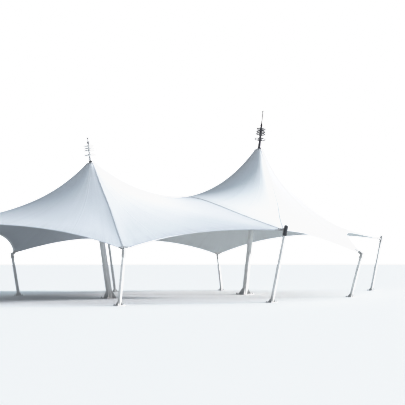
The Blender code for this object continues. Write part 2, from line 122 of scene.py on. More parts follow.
# Cuts of the cloth: corner holes, hems and the valley flap
CORNER_HOLE = 0.12
HEM_START, HEM_STEP, STRIP_THICKNESS = 0.36, 0.09, 0.002
HEM_BENDS = (62, 90, 122, 151, 180, 209, 238, 270, 298)
FLAP_WING, FLAP_GIRTH, FLAP_CLEARANCE = 0.16, 0.34, 0.006

# How far each corner's ridge seam bows sideways at the peak, in degrees
SEAM_BOW = (-17.0, 17.0, -9.0, 0.0, 9.0)
BOW_POWER = 1.7

# Crease along each ridge seam, its half width also as shares of the ways to corner and axis
CREASE_HEIGHT = {"left": (0.008, 0.008, 0.060, 0.030, 0.060),
                 "right": (0.008, 0.008, 0.028, 0.028, 0.028)}
CREASE_WIDTH, CREASE_SPREAD, CREASE_TURN = 1.50, 0.25, 0.5

# How the brightest light is held back from white, as on a photograph
SHOULDER = ((0.15, 0.09), (0.45, 0.30), (0.70, 0.58), (0.85, 0.76), (0.96, 0.87), (1.12, 0.95),
            (1.30, 0.957), (1.68, 0.965))

CORNERS = {
    "right_tip": Vector((TIP_REACH, 0, TIP_HEIGHT)),
    "back_right": Vector((LOW_REACH_X, LOW_REACH_Y, LOW_HEIGHT)),
    "back_valley": Vector((0, VALLEY_REACH, VALLEY_HEIGHT)),
    "back_left": Vector((-LOW_REACH_X, LOW_REACH_Y, LOW_HEIGHT)),
    "left_tip": Vector((-TIP_REACH, 0, TIP_HEIGHT)),
    "front_left": Vector((-LOW_REACH_X, -LOW_REACH_Y, LOW_HEIGHT)),
    "front_valley": Vector((0, -VALLEY_REACH, VALLEY_HEIGHT)),
    "front_right": Vector((LOW_REACH_X, -LOW_REACH_Y, LOW_HEIGHT)),
}
LOW_CORNERS = ("back_right", "back_left", "front_left", "front_right")
CONES = {
    "left": ("front_valley", "back_valley", "back_left", "left_tip", "front_left"),
    "right": ("back_valley", "front_valley", "front_right", "right_tip", "back_right"),
}
VALLEY_ENDS = CONES["left"][:2]
SIGN = {"left": -1, "right": 1}

# The camera that was fitted to the photograph, in metres, degrees and pixels
CAMERA_X, CAMERA_Y, CAMERA_PITCH, CAMERA_YAW = -20.63, -31.48, 3.988, 34.856
IMAGE_WIDTH, FOCAL_LENGTH, CENTRE_DROP = 405, 740.5, 8.6


# Settings that a user would change

def metres(name, description, default):
    return bpy.props.FloatProperty(name=name, description=description, default=default,
                                   unit="LENGTH", min=0)


def degrees(name, description, default):
    return bpy.props.FloatProperty(name=name, description=description, subtype="ANGLE",
                                   default=math.radians(default))


def brightness(name, description, default):
    return bpy.props.FloatProperty(name=name, description=description, default=default, min=0)


def colour(name, description, default):
    return bpy.props.FloatVectorProperty(name=name, description=description, default=default,
                                         subtype="COLOR", size=3, min=0, max=1)


class ClothSettings(bpy.types.PropertyGroup):
    """Sizes and colours of the membranes."""
    thickness: metres("Thickness", "Thickness of the coated cloth", 0.003)
    tape_width: metres("Ridge tape", "Width of the tape over each ridge seam", 0.040)
    seam_width: metres("Weld seam", "Width of the welded overlap between gores", 0.050)
    hem_radius: metres("Hem pocket", "Radius of the pocket round the edge cable", 0.017)
    hem_width: metres("Hem width", "Width of the pocket's welded tail", 0.075)
    white: colour("White", "Colour of clean cloth on the left cone", (0.84, 0.86, 0.88))
    # Painted light: the right cone's cloth has a brighter white than the left cone's, standing in
    # for the stronger light on it
    painted_sunlit: colour("Sunlit white", "Colour of clean cloth on the right cone", (0.89, 0.91, 0.92))
    soiled: colour("Soiled", "Colour of weathered streaks", (0.58, 0.61, 0.62))
    # Painted shade: both lower faces are coloured darker and bluer than the cloth's white, the
    # left cone's darkest; the right cone's lighter lower face is painted light shining through
    # the cloth
    underside: colour("Underside", "Colour of the left cone's lower face", (0.51, 0.565, 0.62))
    glowing: colour("Glowing underside", "Colour of the right cone's lower face, as light shines "
                    "through it", (0.64, 0.67, 0.68))


class SteelSettings(bpy.types.PropertyGroup):
    """Colours of the steelwork and sizes of its fasteners."""
    bolt_radius: metres("Clamp bolt", "Shank radius of the clamp plate bolts", 0.006)
    anchor_radius: metres("Anchor bolt", "Radius of the ground anchor studs", 0.012)
    pale: colour("Pale paint", "Paint of masts and posts", (0.91, 0.92, 0.91))
    dark: colour("Dark paint", "Paint of heads and finials", (0.085, 0.092, 0.105))
    rust: colour("Rust", "Colour of rusted spots", (0.22, 0.10, 0.045))


class StudioSettings(bpy.types.PropertyGroup):
    """Floor, light and camera."""
    floor: colour("Floor", "Colour of the plain floor", (0.93, 0.94, 0.93))
    key: brightness("Key light", "Strength of the key light", 6.6)
    bearing: degrees("Key bearing", "Where the key light is", -30)
    elevation: degrees("Key elevation", "Height of the key light", 12.5)
    overhead: brightness("Overhead light", "Strength of the broad light from above", 1.55)
    fill: brightness("Fill light", "Strength of the even light", 0.27)
    white: brightness("White level", "Light shown as full white", 1.85)
    eye_height: metres("Eye height", "Height of the camera over the floor", 1.69)


# Lines and sheets as arrays

def unit(vectors):
    return vectors / np.linalg.norm(vectors, axis=-1, keepdims=True)


def run_along(line):
    """How far along a line each of its points is."""
    return np.concatenate(([0], np.linalg.norm(np.diff(line, axis=0), axis=1).cumsum()))


def sampled(stations, run, values):
    """Values at the stations, from values that are known at the runs."""
    return np.stack([np.interp(stations, run, values[:, axis]) for axis in range(3)], 1)


def between(line, cut):
    """A line shortened by a cut at both ends."""
    run = run_along(line)
    inner = (run > cut) & (run < run[-1] - cut)
    return sampled(np.concatenate(([cut], run[inner], [run[-1] - cut])), run, line)


def marks_over(across, along):
    """UVs in metres of a sheet whose columns lie across it and whose rows lie along it."""
    return np.stack(np.meshgrid(across, along), -1)


def bays(side):
    """The two corners of each side of a cone's rim, in order."""
    names = CONES[side]
    return list(zip(names, names[1:] + names[:1]))


def side_span(number):
    """The fine columns from one corner of a cone to the next."""
    start = corner_columns()[number]
    return slice(start, start + COLUMN_PARTS * SIDE_STEPS[number] + 1)


def corner_columns():
    """The fine column of each corner of a cone, in the order of its corners."""
    return [COLUMN_PARTS * sum(SIDE_STEPS[:number]) for number in range(len(SIDE_STEPS))]


# Form of the membrane

class Net:
    """Nodes of both cones, with the links whose tensions shape the membrane."""

    def __init__(self):
        self.points, self.fixed, self.index = [], [], {}
        self.links = []

    def node(self, key, point, fixed):
        if key not in self.index:
            self.index[key] = len(self.points)
            self.points.append(point)
            self.fixed.append(fixed)
        return self.index[key]

    def settle(self, density):
        """Move the free nodes most of the way to balance under the force densities."""
        points, fixed, links = self.points, self.fixed, self.links
        slot = np.cumsum(~fixed) - 1
        count = slot[-1] + 1
        stiffness, load = np.zeros((count, count)), np.zeros((count, 3))
        for near, far in ((links[:, 0], links[:, 1]), (links[:, 1], links[:, 0])):
            moves = ~fixed[near]
            np.add.at(stiffness, (slot[near[moves]], slot[near[moves]]), density[moves])
            inner = moves & ~fixed[far]
            np.add.at(stiffness, (slot[near[inner]], slot[far[inner]]), -density[inner])
            outer = moves & fixed[far]
            np.add.at(load, slot[near[outer]], density[outer, None] * points[far[outer]])
        points[~fixed] += 0.75 * (np.linalg.solve(stiffness, load) - points[~fixed])


def side_places(steps):
    """Places along one side of the rim, closer together near its corners."""
    share = np.arange(steps) / steps
    return 0.5 * share + 0.25 * (1 - np.cos(np.pi * share))


def rim_columns(side):
    """Start point, side number and corner flag of each column of a cone's grid."""
    columns = []
    for number, (steps, ends) in enumerate(zip(SIDE_STEPS, bays(side))):
        start, end = (np.array(CORNERS[name]) for name in ends)
        for place in side_places(steps):
            columns.append((start + (end - start) * place, number, place == 0))
    return columns


def lay_cone(net, side):
    """Lay straight columns from the peak ring to the rim and number their nodes."""
    peak = np.array((SIGN[side] * PEAK_REACH, 0, PEAK_HEIGHT[side]))
    columns = rim_columns(side)
    first = -math.pi * SIDE_STEPS[0] / len(columns) + (math.pi if side == "right" else 0)
    grid = np.zeros((RINGS + 1, len(columns)), int)
    for column, (rim, number, corner) in enumerate(columns):
        angle = first + 2 * math.pi * column / len(columns)
        top = peak + PEAK_RADIUS * np.array((math.cos(angle), math.sin(angle), 0))
        for ring in range(RINGS + 1):
            key = (side, ring, column)
            on_valley = number == 0 or (number == 1 and corner)
            if ring == RINGS and on_valley:
                key = ("valley", column if side == "left" else SIDE_STEPS[0] - column)
            held = ring == 0 or (ring == RINGS and corner)
            grid[ring, column] = net.node(key, top + (rim - top) * ring / RINGS, held)
    return grid, columns


def ease_valley(points, cones):
    """Spread the fold at the valley cable over the two rings beside it."""
    steps = SIDE_STEPS[0]
    share = np.minimum(1, 1.5 * np.sin(np.pi * np.arange(steps + 1) / steps))[:, None]
    for grid, _ in cones.values():
        outer = points[grid[RINGS - 3:, :steps + 1]]
        eased = outer[1] + (outer[3] - outer[0]) / 3
        points[grid[RINGS - 1, :steps + 1]] += share * (eased - outer[2])


@functools.lru_cache
def form():
    """Relax the net and return its node positions and the grid of each cone."""
    net = Net()
    cones = {side: lay_cone(net, side) for side in CONES}
    net.points, net.fixed = np.array(net.points), np.array(net.fixed)
    radial, hoop, rope = [], [], []
    for side, (grid, columns) in cones.items():
        rim = np.array([column[0] for column in columns])
        corner = np.array([column[2] for column in columns])
        step = np.linalg.norm(np.roll(rim, -1, 0) - rim, axis=1)
        pull = RADIAL_TENSION[side] * (step + np.roll(step, 1)) / 2 + SEAM_TENSION * corner
        for ring in range(RINGS):
            radial += zip(grid[ring], grid[ring + 1], pull)
        for ring in range(1, RINGS):
            share = TOP_HOOP_SHARE + (1 - TOP_HOOP_SHARE) * ring / RINGS
            hoop += zip(grid[ring], np.roll(grid[ring], -1), grid[ring - 1], grid[ring + 1],
                        [HOOP_STRESS[side] * share] * len(columns))
        bay, end = BAY_TENSION[side], END_TENSION[side]
        tension = (VALLEY_TENSION / 2, bay, end, end, bay)
        for column, (_, number, _) in enumerate(columns):
            rope.append((grid[RINGS, column], grid[RINGS, (column + 1) % len(columns)],
                         tension[number], number + len(SIDE_STEPS) * (side == "right")))
    net.links = np.array([link[:2] for link in radial + hoop + rope])
    pull = np.array([link[2] for link in radial]).reshape(len(CONES), RINGS, -1)
    above, below = (np.array([link[i] for link in hoop]) for i in (2, 3))
    stress = np.array([link[4] for link in hoop])
    tension = np.array([link[2] for link in rope])
    owner = np.array([link[3] for link in rope])

    def length(a, b):
        return np.linalg.norm(net.points[a] - net.points[b], axis=1)

    for _ in range(RELAX_ROUNDS):
        span = length(net.links[:, 0], net.links[:, 1])
        along = span[:len(radial)].reshape(pull.shape).mean(axis=1, keepdims=True)
        across = span[len(radial):len(radial) + len(hoop)]
        whole = np.bincount(owner, span[len(radial) + len(hoop):]) / np.bincount(owner)
        net.settle(np.concatenate((
            (pull / along).ravel(),
            stress * length(above, below) / 2 / across,
            tension / whole[owner])))
    ease_valley(net.points, cones)
    return net.points, {side: grid for side, (grid, _) in cones.items()}


def smooth(places, parts, closed=False):
    """Places on the smooth curve through the given ones, each gap cut into parts."""
    if closed:
        knots = np.concatenate((places[-1:], places, places[:2]))
    else:
        before = 3 * (places[0] - places[1]) + places[2]
        after = 3 * (places[-1] - places[-2]) + places[-3]
        knots = np.concatenate(([before], places, [after]))
    curve = []
    for a, b, c, d in zip(knots, knots[1:], knots[2:], knots[3:]):
        for t in np.arange(parts) / parts:
            curve.append((2 * b + (c - a) * t + (2 * a - 5 * b + 4 * c - d) * t ** 2
                          + (3 * b - a - 3 * c + d) * t ** 3) / 2)
    return np.array(curve if closed else curve + [places[-1]])


def bearing(side, places):
    """Direction in plan, in radians, from the cone's peak to each place along its rows."""
    across = places[..., 0] - SIGN[side] * PEAK_REACH
    return np.unwrap(np.arctan2(places[..., 1], across), axis=-1)


def fine_rim(rim):
    """The rim made smooth between its corners and left sharp at them."""
    sides = []
    for number, steps in enumerate(SIDE_STEPS):
        columns = (sum(SIDE_STEPS[:number]) + np.arange(steps + 1)) % len(rim)
        sides.append(smooth(rim[columns], COLUMN_PARTS)[:-1])
    return np.concatenate(sides)


def fanned_rings(side):
    """The net's rings with their places moved to columns that run along the gores."""
    points, grids = form()
    rings = points[grids[side]]
    rim = fine_rim(rings[-1])
    way = bearing(side, rim)
    seams = np.append(way[corner_columns()], way[0] + 2 * math.pi)
    rows = []
    for number, ring in enumerate(rings[:-1]):
        bow = np.radians(SEAM_BOW) * (1 - (number / RINGS) ** BOW_POWER)
        wanted = way + np.interp(way, seams, np.append(bow, bow[0]))
        fine = smooth(ring, RING_PARTS, closed=True)
        found = bearing(side, fine)
        turns = np.concatenate([found + 2 * math.pi * turn for turn in (-1, 0, 1)])
        rows.append(sampled(wanted, turns, np.tile(fine, (3, 1))))
    rows = np.array(rows + [rim])
    return np.concatenate((rows, rows[:, :1]), 1)


def from_axis(side, places):
    """Level distance from the peak's axis to each place."""
    return np.hypot(places[..., 0] - SIGN[side] * PEAK_REACH, places[..., 1])[..., None]


def from_corners(side, places):
    """Distance from each place to each corner of its cone."""
    return np.stack([np.linalg.norm(places - np.array(CORNERS[name]), axis=2)
                     for name in CONES[side]], -1)


def beside(side, places, columns):
    """Level distance from each place to each of the given columns of its cone."""
    way = bearing(side, places)
    turn = way[:, :, None] - way[:, None, columns]
    turn = np.abs((turn + math.pi) % (2 * math.pi) - math.pi)
    return from_axis(side, places) * np.sin(np.minimum(turn, math.pi / 2))


@functools.lru_cache
def cloth_places(side):
    """The cone's surface: rows from peak to rim, its first column repeated last."""
    places = smooth(fanned_rings(side), ROW_PARTS)
    width = np.minimum(CREASE_WIDTH, CREASE_SPREAD * from_corners(side, places))
    width = np.minimum(width, CREASE_TURN * from_axis(side, places)) + 1e-6
    fold = np.maximum(0, 1 - beside(side, places, corner_columns()) / width) ** 2
    start = np.minimum(1, np.linspace(0, 8, len(places)))[:, None, None]
    lift = (np.array(CREASE_HEIGHT[side]) * width / CREASE_WIDTH * fold * start).sum(2)
    return places + lift[..., None] * upward_normals(places)


def upward_normals(places):
    """Upward normals of a cone's surface at its places."""
    ring = places[:, :-1]
    around = np.roll(ring, -1, 1) - np.roll(ring, 1, 1)
    around = np.concatenate((around, around[:, :1]), 1)
    normals = unit(np.cross(np.gradient(places, axis=0), around))
    return normals * np.sign(normals[..., 2:])


@functools.lru_cache
def cloth_normals(side):
    return upward_normals(cloth_places(side))


@functools.lru_cache
def rope_lines():
    """The smooth line of each rope, keyed by its two corners."""
    return {ends: cloth_places(side)[-1, side_span(number)]
            for side in CONES for number, ends in enumerate(bays(side))
            if ends != VALLEY_ENDS[::-1]}


def rope_radius(ends):
    return VALLEY_CABLE_RADIUS if ends == VALLEY_ENDS else EDGE_CABLE_RADIUS


# Corner geometry

class Corner:
    """A rim corner with its ropes' ways, its inward and normal ways and its post's line."""

    def __init__(self, name):
        self.name, self.point, self.ropes = name, CORNERS[name], {}
        points, grids = form()
        for side, names in CONES.items():
            if name not in names:
                continue
            number, rim = names.index(name), points[grids[side][RINGS]]
            column = sum(SIDE_STEPS[:number])
            for step, ends in ((1, bays(side)[number]), (-1, bays(side)[number - 1])):
                beyond = Vector(rim[(column + step) % len(rim)])
                if ends != VALLEY_ENDS[::-1]:
                    self.ropes[ends] = (beyond - self.point).normalized()
        ways = [way for ends, way in self.ropes.items() if ends != VALLEY_ENDS]
        self.inward = (ways[0] + ways[1]).normalized()
        self.normal = ways[0].cross(ways[1]).normalized()
        if self.normal.z < 0:
            self.normal = -self.normal
        level = "low" if name in LOW_CORNERS else "high"
        self.radius, self.head_above = POST_RADIUS[level], HEAD_ABOVE[level]
        x, y, _ = self.point
        out = Vector((math.copysign(1, x), 0, 0) if "tip" in name
                     else (0, math.copysign(1, y), 0))
        if level == "low":
            out.x = math.copysign(POST_SIDEWAYS, x)
        self.post_way = (out.normalized() * math.sin(POST_LEAN)
                         + Vector((0, 0, math.cos(POST_LEAN))))
        self.post_point = self.point - self.inward * POST_STANDOFF
        self.foot = self.post_point - self.post_way * (self.post_point.z / self.post_way.z)


@functools.lru_cache
def corners():
    return {name: Corner(name) for name in CORNERS}


class Peak:
    """A mast's line through its peak."""

    def __init__(self, side):
        self.side, self.scale = side, FINIAL_SCALE[side]
        self.point = Vector((SIGN[side] * PEAK_REACH, 0, PEAK_HEIGHT[side]))
        self.foot = Vector((SIGN[side] * MAST_FOOT_REACH, 0, 0))
        self.way = (self.point - self.foot).normalized()
        self.top = self.point + self.way * MAST_ABOVE_PEAK

    def place(self, height=0.0):
        return frame_along(self.way, self.point + self.way * height)


def peaks():
    return {side: Peak(side) for side in CONES}


# Mesh tools

def frame_along(axis, origin, side=Vector((1, 0, 0))):
    """Turn local Z to the axis and local X towards the side, at the origin."""
    z = axis.normalized()
    x = (side - z * side.dot(z)).normalized()
    y = z.cross(x)
    return Matrix.Translation(origin) @ Matrix((x, y, z)).transposed().to_4x4()


def joined(shapes):
    """One bmesh that holds all the shapes."""
    whole = bmesh.new()
    for shape in shapes:
        mesh = bpy.data.meshes.new("join")
        shape.to_mesh(mesh)
        shape.free()
        whole.from_mesh(mesh)
        bpy.data.meshes.remove(mesh)
    return whole


def piece(name, shape, finish, replaces=(), sharp=40):
    """Show the shape as a finished piece that rides on the canopy's one body."""
    mesh = bpy.data.meshes.new(name)
    shape.edges.index_update()
    open_edges = [edge.index for edge in shape.edges if edge.is_boundary]
    shape.to_mesh(mesh)
    shape.free()
    for each in ([finish] if isinstance(finish, str) else finish):
        mesh.materials.append(finishes()[each])
    mesh.shade_smooth()
    mesh.set_sharp_from_angle(angle=math.radians(sharp))
    for index in open_edges:
        mesh.edges[index].use_edge_sharp = True
    thing = bpy.data.objects.new(name, mesh)
    bpy.context.scene.collection.objects.link(thing)
    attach(thing, "root")
    if replaces:
        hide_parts(*replaces)
    return thing


def thick_cloth(thing, thickness, lower=0):
    """Give a sheet its thickness downwards, its lower face so many finishes further on."""
    skin = thing.modifiers.new("Thickness", "SOLIDIFY")
    skin.thickness, skin.offset, skin.material_offset = thickness, -1, lower


def facing(shape, way=Vector((0, 0, 1))):
    """Turn an open sheet's faces so that they look along the way on the whole."""
    shape.normal_update()
    if sum(face.normal.dot(way) * face.calc_area() for face in outward(shape).faces) < 0:
        bmesh.ops.reverse_faces(shape, faces=shape.faces)
    return shape


def ways_round(count, first=0.0):
    """Level directions evenly round a circle, from an angle in radians."""
    angles = [first + 2 * math.pi * number / count for number in range(count)]
    return [Vector((math.cos(angle), math.sin(angle), 0)) for angle in angles]


def mirrored(profile):
    """A profile with its lower half repeated above, the other way up."""
    return profile + [(radius, -height) for radius, height in reversed(profile)]


def upright(origin, angle):
    """Local X level at the angle round Z, and local Y straight up, at the origin."""
    return (Matrix.Translation(origin) @ Matrix.Rotation(angle, 4, "Z")
            @ Matrix.Rotation(math.pi / 2, 4, "X"))


def lattice(places, marks=None):
    """A sheet of quads through rows of places, with a UV for each place."""
    rows, columns = places.shape[:2]
    shape = bmesh.new()
    bmesh.ops.create_grid(shape, x_segments=columns - 1, y_segments=rows - 1, size=1)
    if marks is None:
        marks = marks_over(np.arange(columns), np.arange(rows)) / 10
    layer = shape.loops.layers.uv.new("UVMap")
    flat = marks.reshape(-1, 2)
    shape.verts.index_update()
    for face in shape.faces:
        for loop in face.loops:
            loop[layer].uv = flat[loop.vert.index]
    for vert, place in zip(shape.verts, places.reshape(-1, 3)):
        vert.co = place
    return shape


def weld(shape):
    bmesh.ops.remove_doubles(shape, verts=shape.verts, dist=0.00001)
    return shape


def outward(shape):
    bmesh.ops.recalc_face_normals(shape, faces=shape.faces)
    return shape


def bar(start, end, radius, sides=48, bevel=0.0):
    """A round bar from start to end with an optional bevel round its two rims."""
    shape = bmesh.new()
    bmesh.ops.create_cone(
        shape, cap_ends=True, segments=sides, radius1=radius, radius2=radius,
        depth=(end - start).length, matrix=frame_along(end - start, (start + end) / 2))
    if bevel:
        rims = [edge for edge in shape.edges
                if any(len(face.verts) > 4 for face in edge.link_faces)]
        soften(shape, rims, bevel)
    return shape


def soften(shape, edges, width):
    bmesh.ops.bevel(shape, geom=edges, offset=width, offset_type="OFFSET", segments=2,
                    profile=0.5, affect="EDGES", material=-1, clamp_overlap=True)
    return shape


def box(size, place, bevel):
    shape = bmesh.new()
    bmesh.ops.create_cube(shape, size=1, matrix=place @ Matrix.Diagonal((*size, 1)))
    return soften(shape, shape.edges[:], bevel)


def turned(profile, place, steps=48):
    """A solid turned about local Z from a radius and height profile."""
    shape = bmesh.new()
    verts = [shape.verts.new((radius, 0, height)) for radius, height in profile]
    edges = [shape.edges.new(pair) for pair in zip(verts, verts[1:])]
    bmesh.ops.spin(shape, geom=verts + edges, cent=(0, 0, 0), axis=(0, 0, 1),
                   angle=2 * math.pi, steps=steps, use_merge=True)
    weld(shape)
    outward(shape)
    bmesh.ops.transform(shape, matrix=place, verts=shape.verts)
    return shape


def plate(outline, thickness, place, bevel):
    """A flat plate from an outline in local X and Y, its edges softened."""
    shape = bmesh.new()
    verts = [shape.verts.new((x, y, -thickness / 2)) for x, y in outline]
    face = shape.faces.new(verts)
    grown = bmesh.ops.extrude_face_region(shape, geom=[face])["geom"]
    lifted = [item for item in grown if isinstance(item, bmesh.types.BMVert)]
    bmesh.ops.translate(shape, vec=(0, 0, thickness), verts=lifted)
    soften(outward(shape), shape.edges[:], bevel)
    bmesh.ops.transform(shape, matrix=place, verts=shape.verts)
    return shape


def thicken(shape, thickness, way=None):
    """Give an open sheet a lower face, a thickness below it along one way or its normals."""
    shape.normal_update()
    drops = [(vert, (way or vert.normal) * thickness) for vert in shape.verts]
    bmesh.ops.extrude_face_region(shape, geom=shape.faces[:])
    for vert, drop in drops:
        vert.co -= drop
    return outward(shape)


def tube_along(line, radius, sides=16, closed=False):
    """A tube swept along a line of points, its UV in turns round it and metres along it."""
    line = np.array(line)
    ahead = unit(np.roll(line, -1, 0) - np.roll(line, 1, 0) if closed
                 else np.gradient(line, axis=0))
    across = unit(np.cross(ahead, (0.0, 0.0, 1.0)))
    lift = np.cross(across, ahead)
    angles = np.linspace(0, 2 * math.pi, sides + 1)
    ring = (np.cos(angles)[:, None] * across[:, None]
            + np.sin(angles)[:, None] * lift[:, None])
    reach = np.broadcast_to(np.asarray(radius, float), (len(line),))
    places = line[:, None] + ring * reach[:, None, None]
    run = run_along(line)
    if closed:
        places = np.concatenate((places, places[:1]))
        run = np.append(run, run[-1] + np.linalg.norm(line[0] - line[-1]))
    shape = weld(lattice(places, marks_over(angles / (2 * math.pi), run)))
    ends = [edge for edge in shape.edges if edge.is_boundary]
    if ends:
        bmesh.ops.holes_fill(shape, edges=ends, sides=0)
    return outward(shape)


def bolt(centre, axis, radius, stand=0.0):
    """A washer, a nut and the end of a stud, standing up along the axis."""
    seat = centre + axis * radius * 0.4
    return [bar(centre, seat, radius * 2.1, sides=20),
            bar(seat, seat + axis * (radius * 1.5), radius * 1.75, sides=6,
                bevel=radius * 0.18),
            bar(seat, seat + axis * (radius * 2.1 + stand), radius, sides=12,
                bevel=radius * 0.2)]


# Shader expressions

class Value:
    """A shader socket whose operators add the nodes that work out an expression."""

    def __init__(self, paint, socket):
        self.paint, self.socket = paint, socket

    def math(self, operation, *others):
        return self.paint.node("ShaderNodeMath", {"operation": operation},
                               dict(enumerate((self, *others))))

    def __add__(self, other):
        return self.math("ADD", other)

    def __mul__(self, other):
        return self.math("MULTIPLY", other)

    def __sub__(self, other):
        return self.math("SUBTRACT", other)

    def __rsub__(self, other):
        return self.paint.node("ShaderNodeMath", {"operation": "SUBTRACT"}, {0: other, 1: self})

    def __truediv__(self, other):
        return self.math("DIVIDE", other)

    __radd__, __rmul__ = __add__, __mul__

    def capped(self):
        return self.math("MINIMUM", 1.0)

    def ease(self, low, high):
        """0 below low, 1 above high, and an S curve between; high below low turns it over."""
        return self.paint.node(
            "ShaderNodeMapRange", {"interpolation_type": "SMOOTHSTEP"},
            {0: self, 1: min(low, high), 2: max(low, high), 3: float(low > high),
             4: float(low <= high)})


class Paint:
    """One material and the nodes that are added to it."""

    def __init__(self, name):
        self.material = bpy.data.materials.new(name)
        self.material.use_nodes = True
        self.tree = self.material.node_tree
        self.shader = self.tree.nodes["Principled BSDF"]

    def node(self, kind, settings=None, inputs=None, output=0):
        made = self.tree.nodes.new(kind)
        for name, value in (settings or {}).items():
            setattr(made, name, value)
        for name, value in (inputs or {}).items():
            if isinstance(value, Value):
                self.tree.links.new(value.socket, made.inputs[name])
            else:
                made.inputs[name].default_value = value
        return Value(self, made.outputs[output])

    def set(self, **inputs):
        for name, value in inputs.items():
            socket = self.shader.inputs[name.replace("_", " ").title()]
            if isinstance(value, Value):
                self.tree.links.new(value.socket, socket)
            else:
                socket.default_value = value
        return self.material

    def object_place(self):
        return self.node("ShaderNodeTexCoord", output="Object")

    def mark(self):
        return self.node("ShaderNodeUVMap", {"uv_map": "UVMap"})

    def attribute(self, name):
        return self.node("ShaderNodeAttribute", {"attribute_name": name}, output="Fac")

    def noise(self, vector, scale, detail=3.0, roughness=0.5):
        return self.node("ShaderNodeTexNoise", None, {
            "Vector": vector, "Scale": scale, "Detail": detail, "Roughness": roughness})

    def streaks(self, vector, scale, detail, roughness=0.5):
        """Noise with its own scale along each axis."""
        scaled = self.node("ShaderNodeMapping", None, {"Vector": vector, "Scale": scale})
        return self.noise(scaled, 1.0, detail, roughness)

    def split(self, vector, axis):
        return self.node("ShaderNodeSeparateXYZ", None, {0: vector}, output=axis)

    def mix(self, factor, low, high):
        """The low colour where the factor is 0 and the high one where it is 1."""
        low, high = (value if isinstance(value, Value) else (*value, 1) for value in (low, high))
        return self.node("ShaderNodeMix", {"data_type": "RGBA"}, {0: factor, 6: low, 7: high},
                         output=2)

    def wave(self, vector, axis, scale, distortion):
        return self.node("ShaderNodeTexWave", {"bands_direction": axis},
                         {"Vector": vector, "Scale": scale, "Distortion": distortion})

    def bump(self, height):
        """The normal of a surface that is raised by a height in metres."""
        return self.node("ShaderNodeBump", None, {"Height": height, "Distance": 1.0})


def cloth_finish(name, clean, soiled):
    """Coated cloth: weld seams, patches, weathered streaks, creases and a fine weave."""
    settings = bpy.context.scene.canopy_cloth
    paint = Paint(name)
    place, mark = paint.object_place(), paint.mark()
    seam, corner = paint.attribute("seam"), paint.attribute("corner")
    peak, rim = paint.attribute("peak"), paint.attribute("rim")

    below_collar = peak.ease(0.86, 0.88)
    half = settings.seam_width / 2
    overlap = seam.ease(half, half - 0.008) * below_collar
    groove = seam.ease(half - 0.006, half) * seam.ease(half + 0.014, half + 0.004) * below_collar
    collar = 1 - below_collar
    patch = corner.ease(0.95, 0.94) + corner.ease(0.60, 0.59)

    broad = paint.noise(place, 0.35, 3)
    streak = paint.streaks(mark, (2.2, 0.16, 1), 5, 0.62)
    fine = paint.streaks(mark, (9.0, 0.5, 1), 4, 0.6)
    near_peak = peak.ease(3.4, 0.2)
    near_rim = rim.ease(0.75, 0.06)
    dirt = (streak.ease(0.46, 0.74) * (0.10 + 0.14 * near_peak)
            + fine.ease(0.52, 0.78) * (0.05 + 0.12 * near_peak)
            + near_rim * (0.06 + 0.20 * fine.ease(0.40, 0.66))
            + broad.ease(0.35, 0.75) * 0.06 + groove * 0.30 + collar * 0.06)
    tone = paint.mix(dirt.capped(), clean, soiled)
    bright = tuple(min(1.0, part * 1.06) for part in clean)
    tone = paint.mix(overlap * 0.55 + patch * 0.14, tone, bright)

    crease = paint.streaks(mark, (1.1, 0.10, 1), 3)
    gather = paint.streaks(mark, (5.0, 0.22, 1), 2)
    pull = corner.ease(3.2, 0.3) + near_peak * 0.6
    height = crease * 0.005 + gather * pull * 0.0016
    weave = paint.wave(mark, "X", 160.0, 0.2) + paint.wave(mark, "Y", 160.0, 0.2)
    steps = (overlap + collar + patch) * 0.0012 + weave * 0.00006
    normal = paint.bump(height + steps)
    rough = 0.40 + 0.22 * dirt + 0.10 * broad
    return paint.set(base_color=tone, roughness=rough, normal=normal)


def webbing_finish(name, shade):
    """Folded and welded strips of the same cloth: hems, ridge tapes and valley flap."""
    paint = Paint(name)
    place, mark = paint.object_place(), paint.mark()
    smear = paint.streaks(mark, (3.0, 0.5, 1), 5, 0.6)
    specks = paint.noise(place, 24.0, 3, 0.6)
    dirt = smear.ease(0.40, 0.72) * 0.45 + specks.ease(0.58, 0.74) * 0.25
    tone = paint.mix(dirt, shade, tuple(part * 0.72 for part in shade))
    stitch = paint.wave(mark, "Y", 30.0, 0.1)
    pucker = paint.streaks(mark, (1.0, 9.0, 1), 2)
    normal = paint.bump(stitch * 0.0004 + pucker * 0.003)
    return paint.set(base_color=tone, roughness=0.45 + 0.25 * dirt, normal=normal)


def painted_finish(name, shade, grime=1.0, rusting=0.5, metallic=0.0):
    """Brushed-on paint over steel: faint runs, dust low down, chips and rust spots."""
    rust_shade = tuple(bpy.context.scene.canopy_steel.rust)
    paint = Paint(name)
    place = paint.object_place()
    height = paint.split(place, "Z")
    cloud = paint.noise(place, 1.6, 4, 0.6)
    runs = paint.streaks(place, (26.0, 26.0, 1.4), 4, 0.6)
    specks = paint.noise(place, 60.0, 4, 0.65)
    spots = paint.noise(place, 9.0, 5, 0.68)
    low = height.ease(0.55, 0.02)
    dust = (runs.ease(0.46, 0.72) * 0.30 + cloud.ease(0.40, 0.70) * 0.22 + low * 0.55) * grime
    dull = tuple(part * 0.62 + 0.03 for part in shade)
    tone = paint.mix(dust.capped(), shade, dull)
    rust = spots.ease(0.66 - 0.05 * rusting, 0.72) * (0.45 + 0.55 * low) * rusting
    rust = (rust + specks.ease(0.70, 0.76) * 0.35 * rusting).capped()
    tone = paint.mix(rust, tone, rust_shade)
    peel = paint.noise(place, 140.0, 2, 0.5)
    normal = paint.bump(peel * 0.00025 + rust * 0.0006 + cloud * 0.0004)
    rough = 0.34 + 0.20 * dust + 0.40 * rust
    metal = metallic * (1 - rust)
    return paint.set(base_color=tone, roughness=rough, metallic=metal, normal=normal)


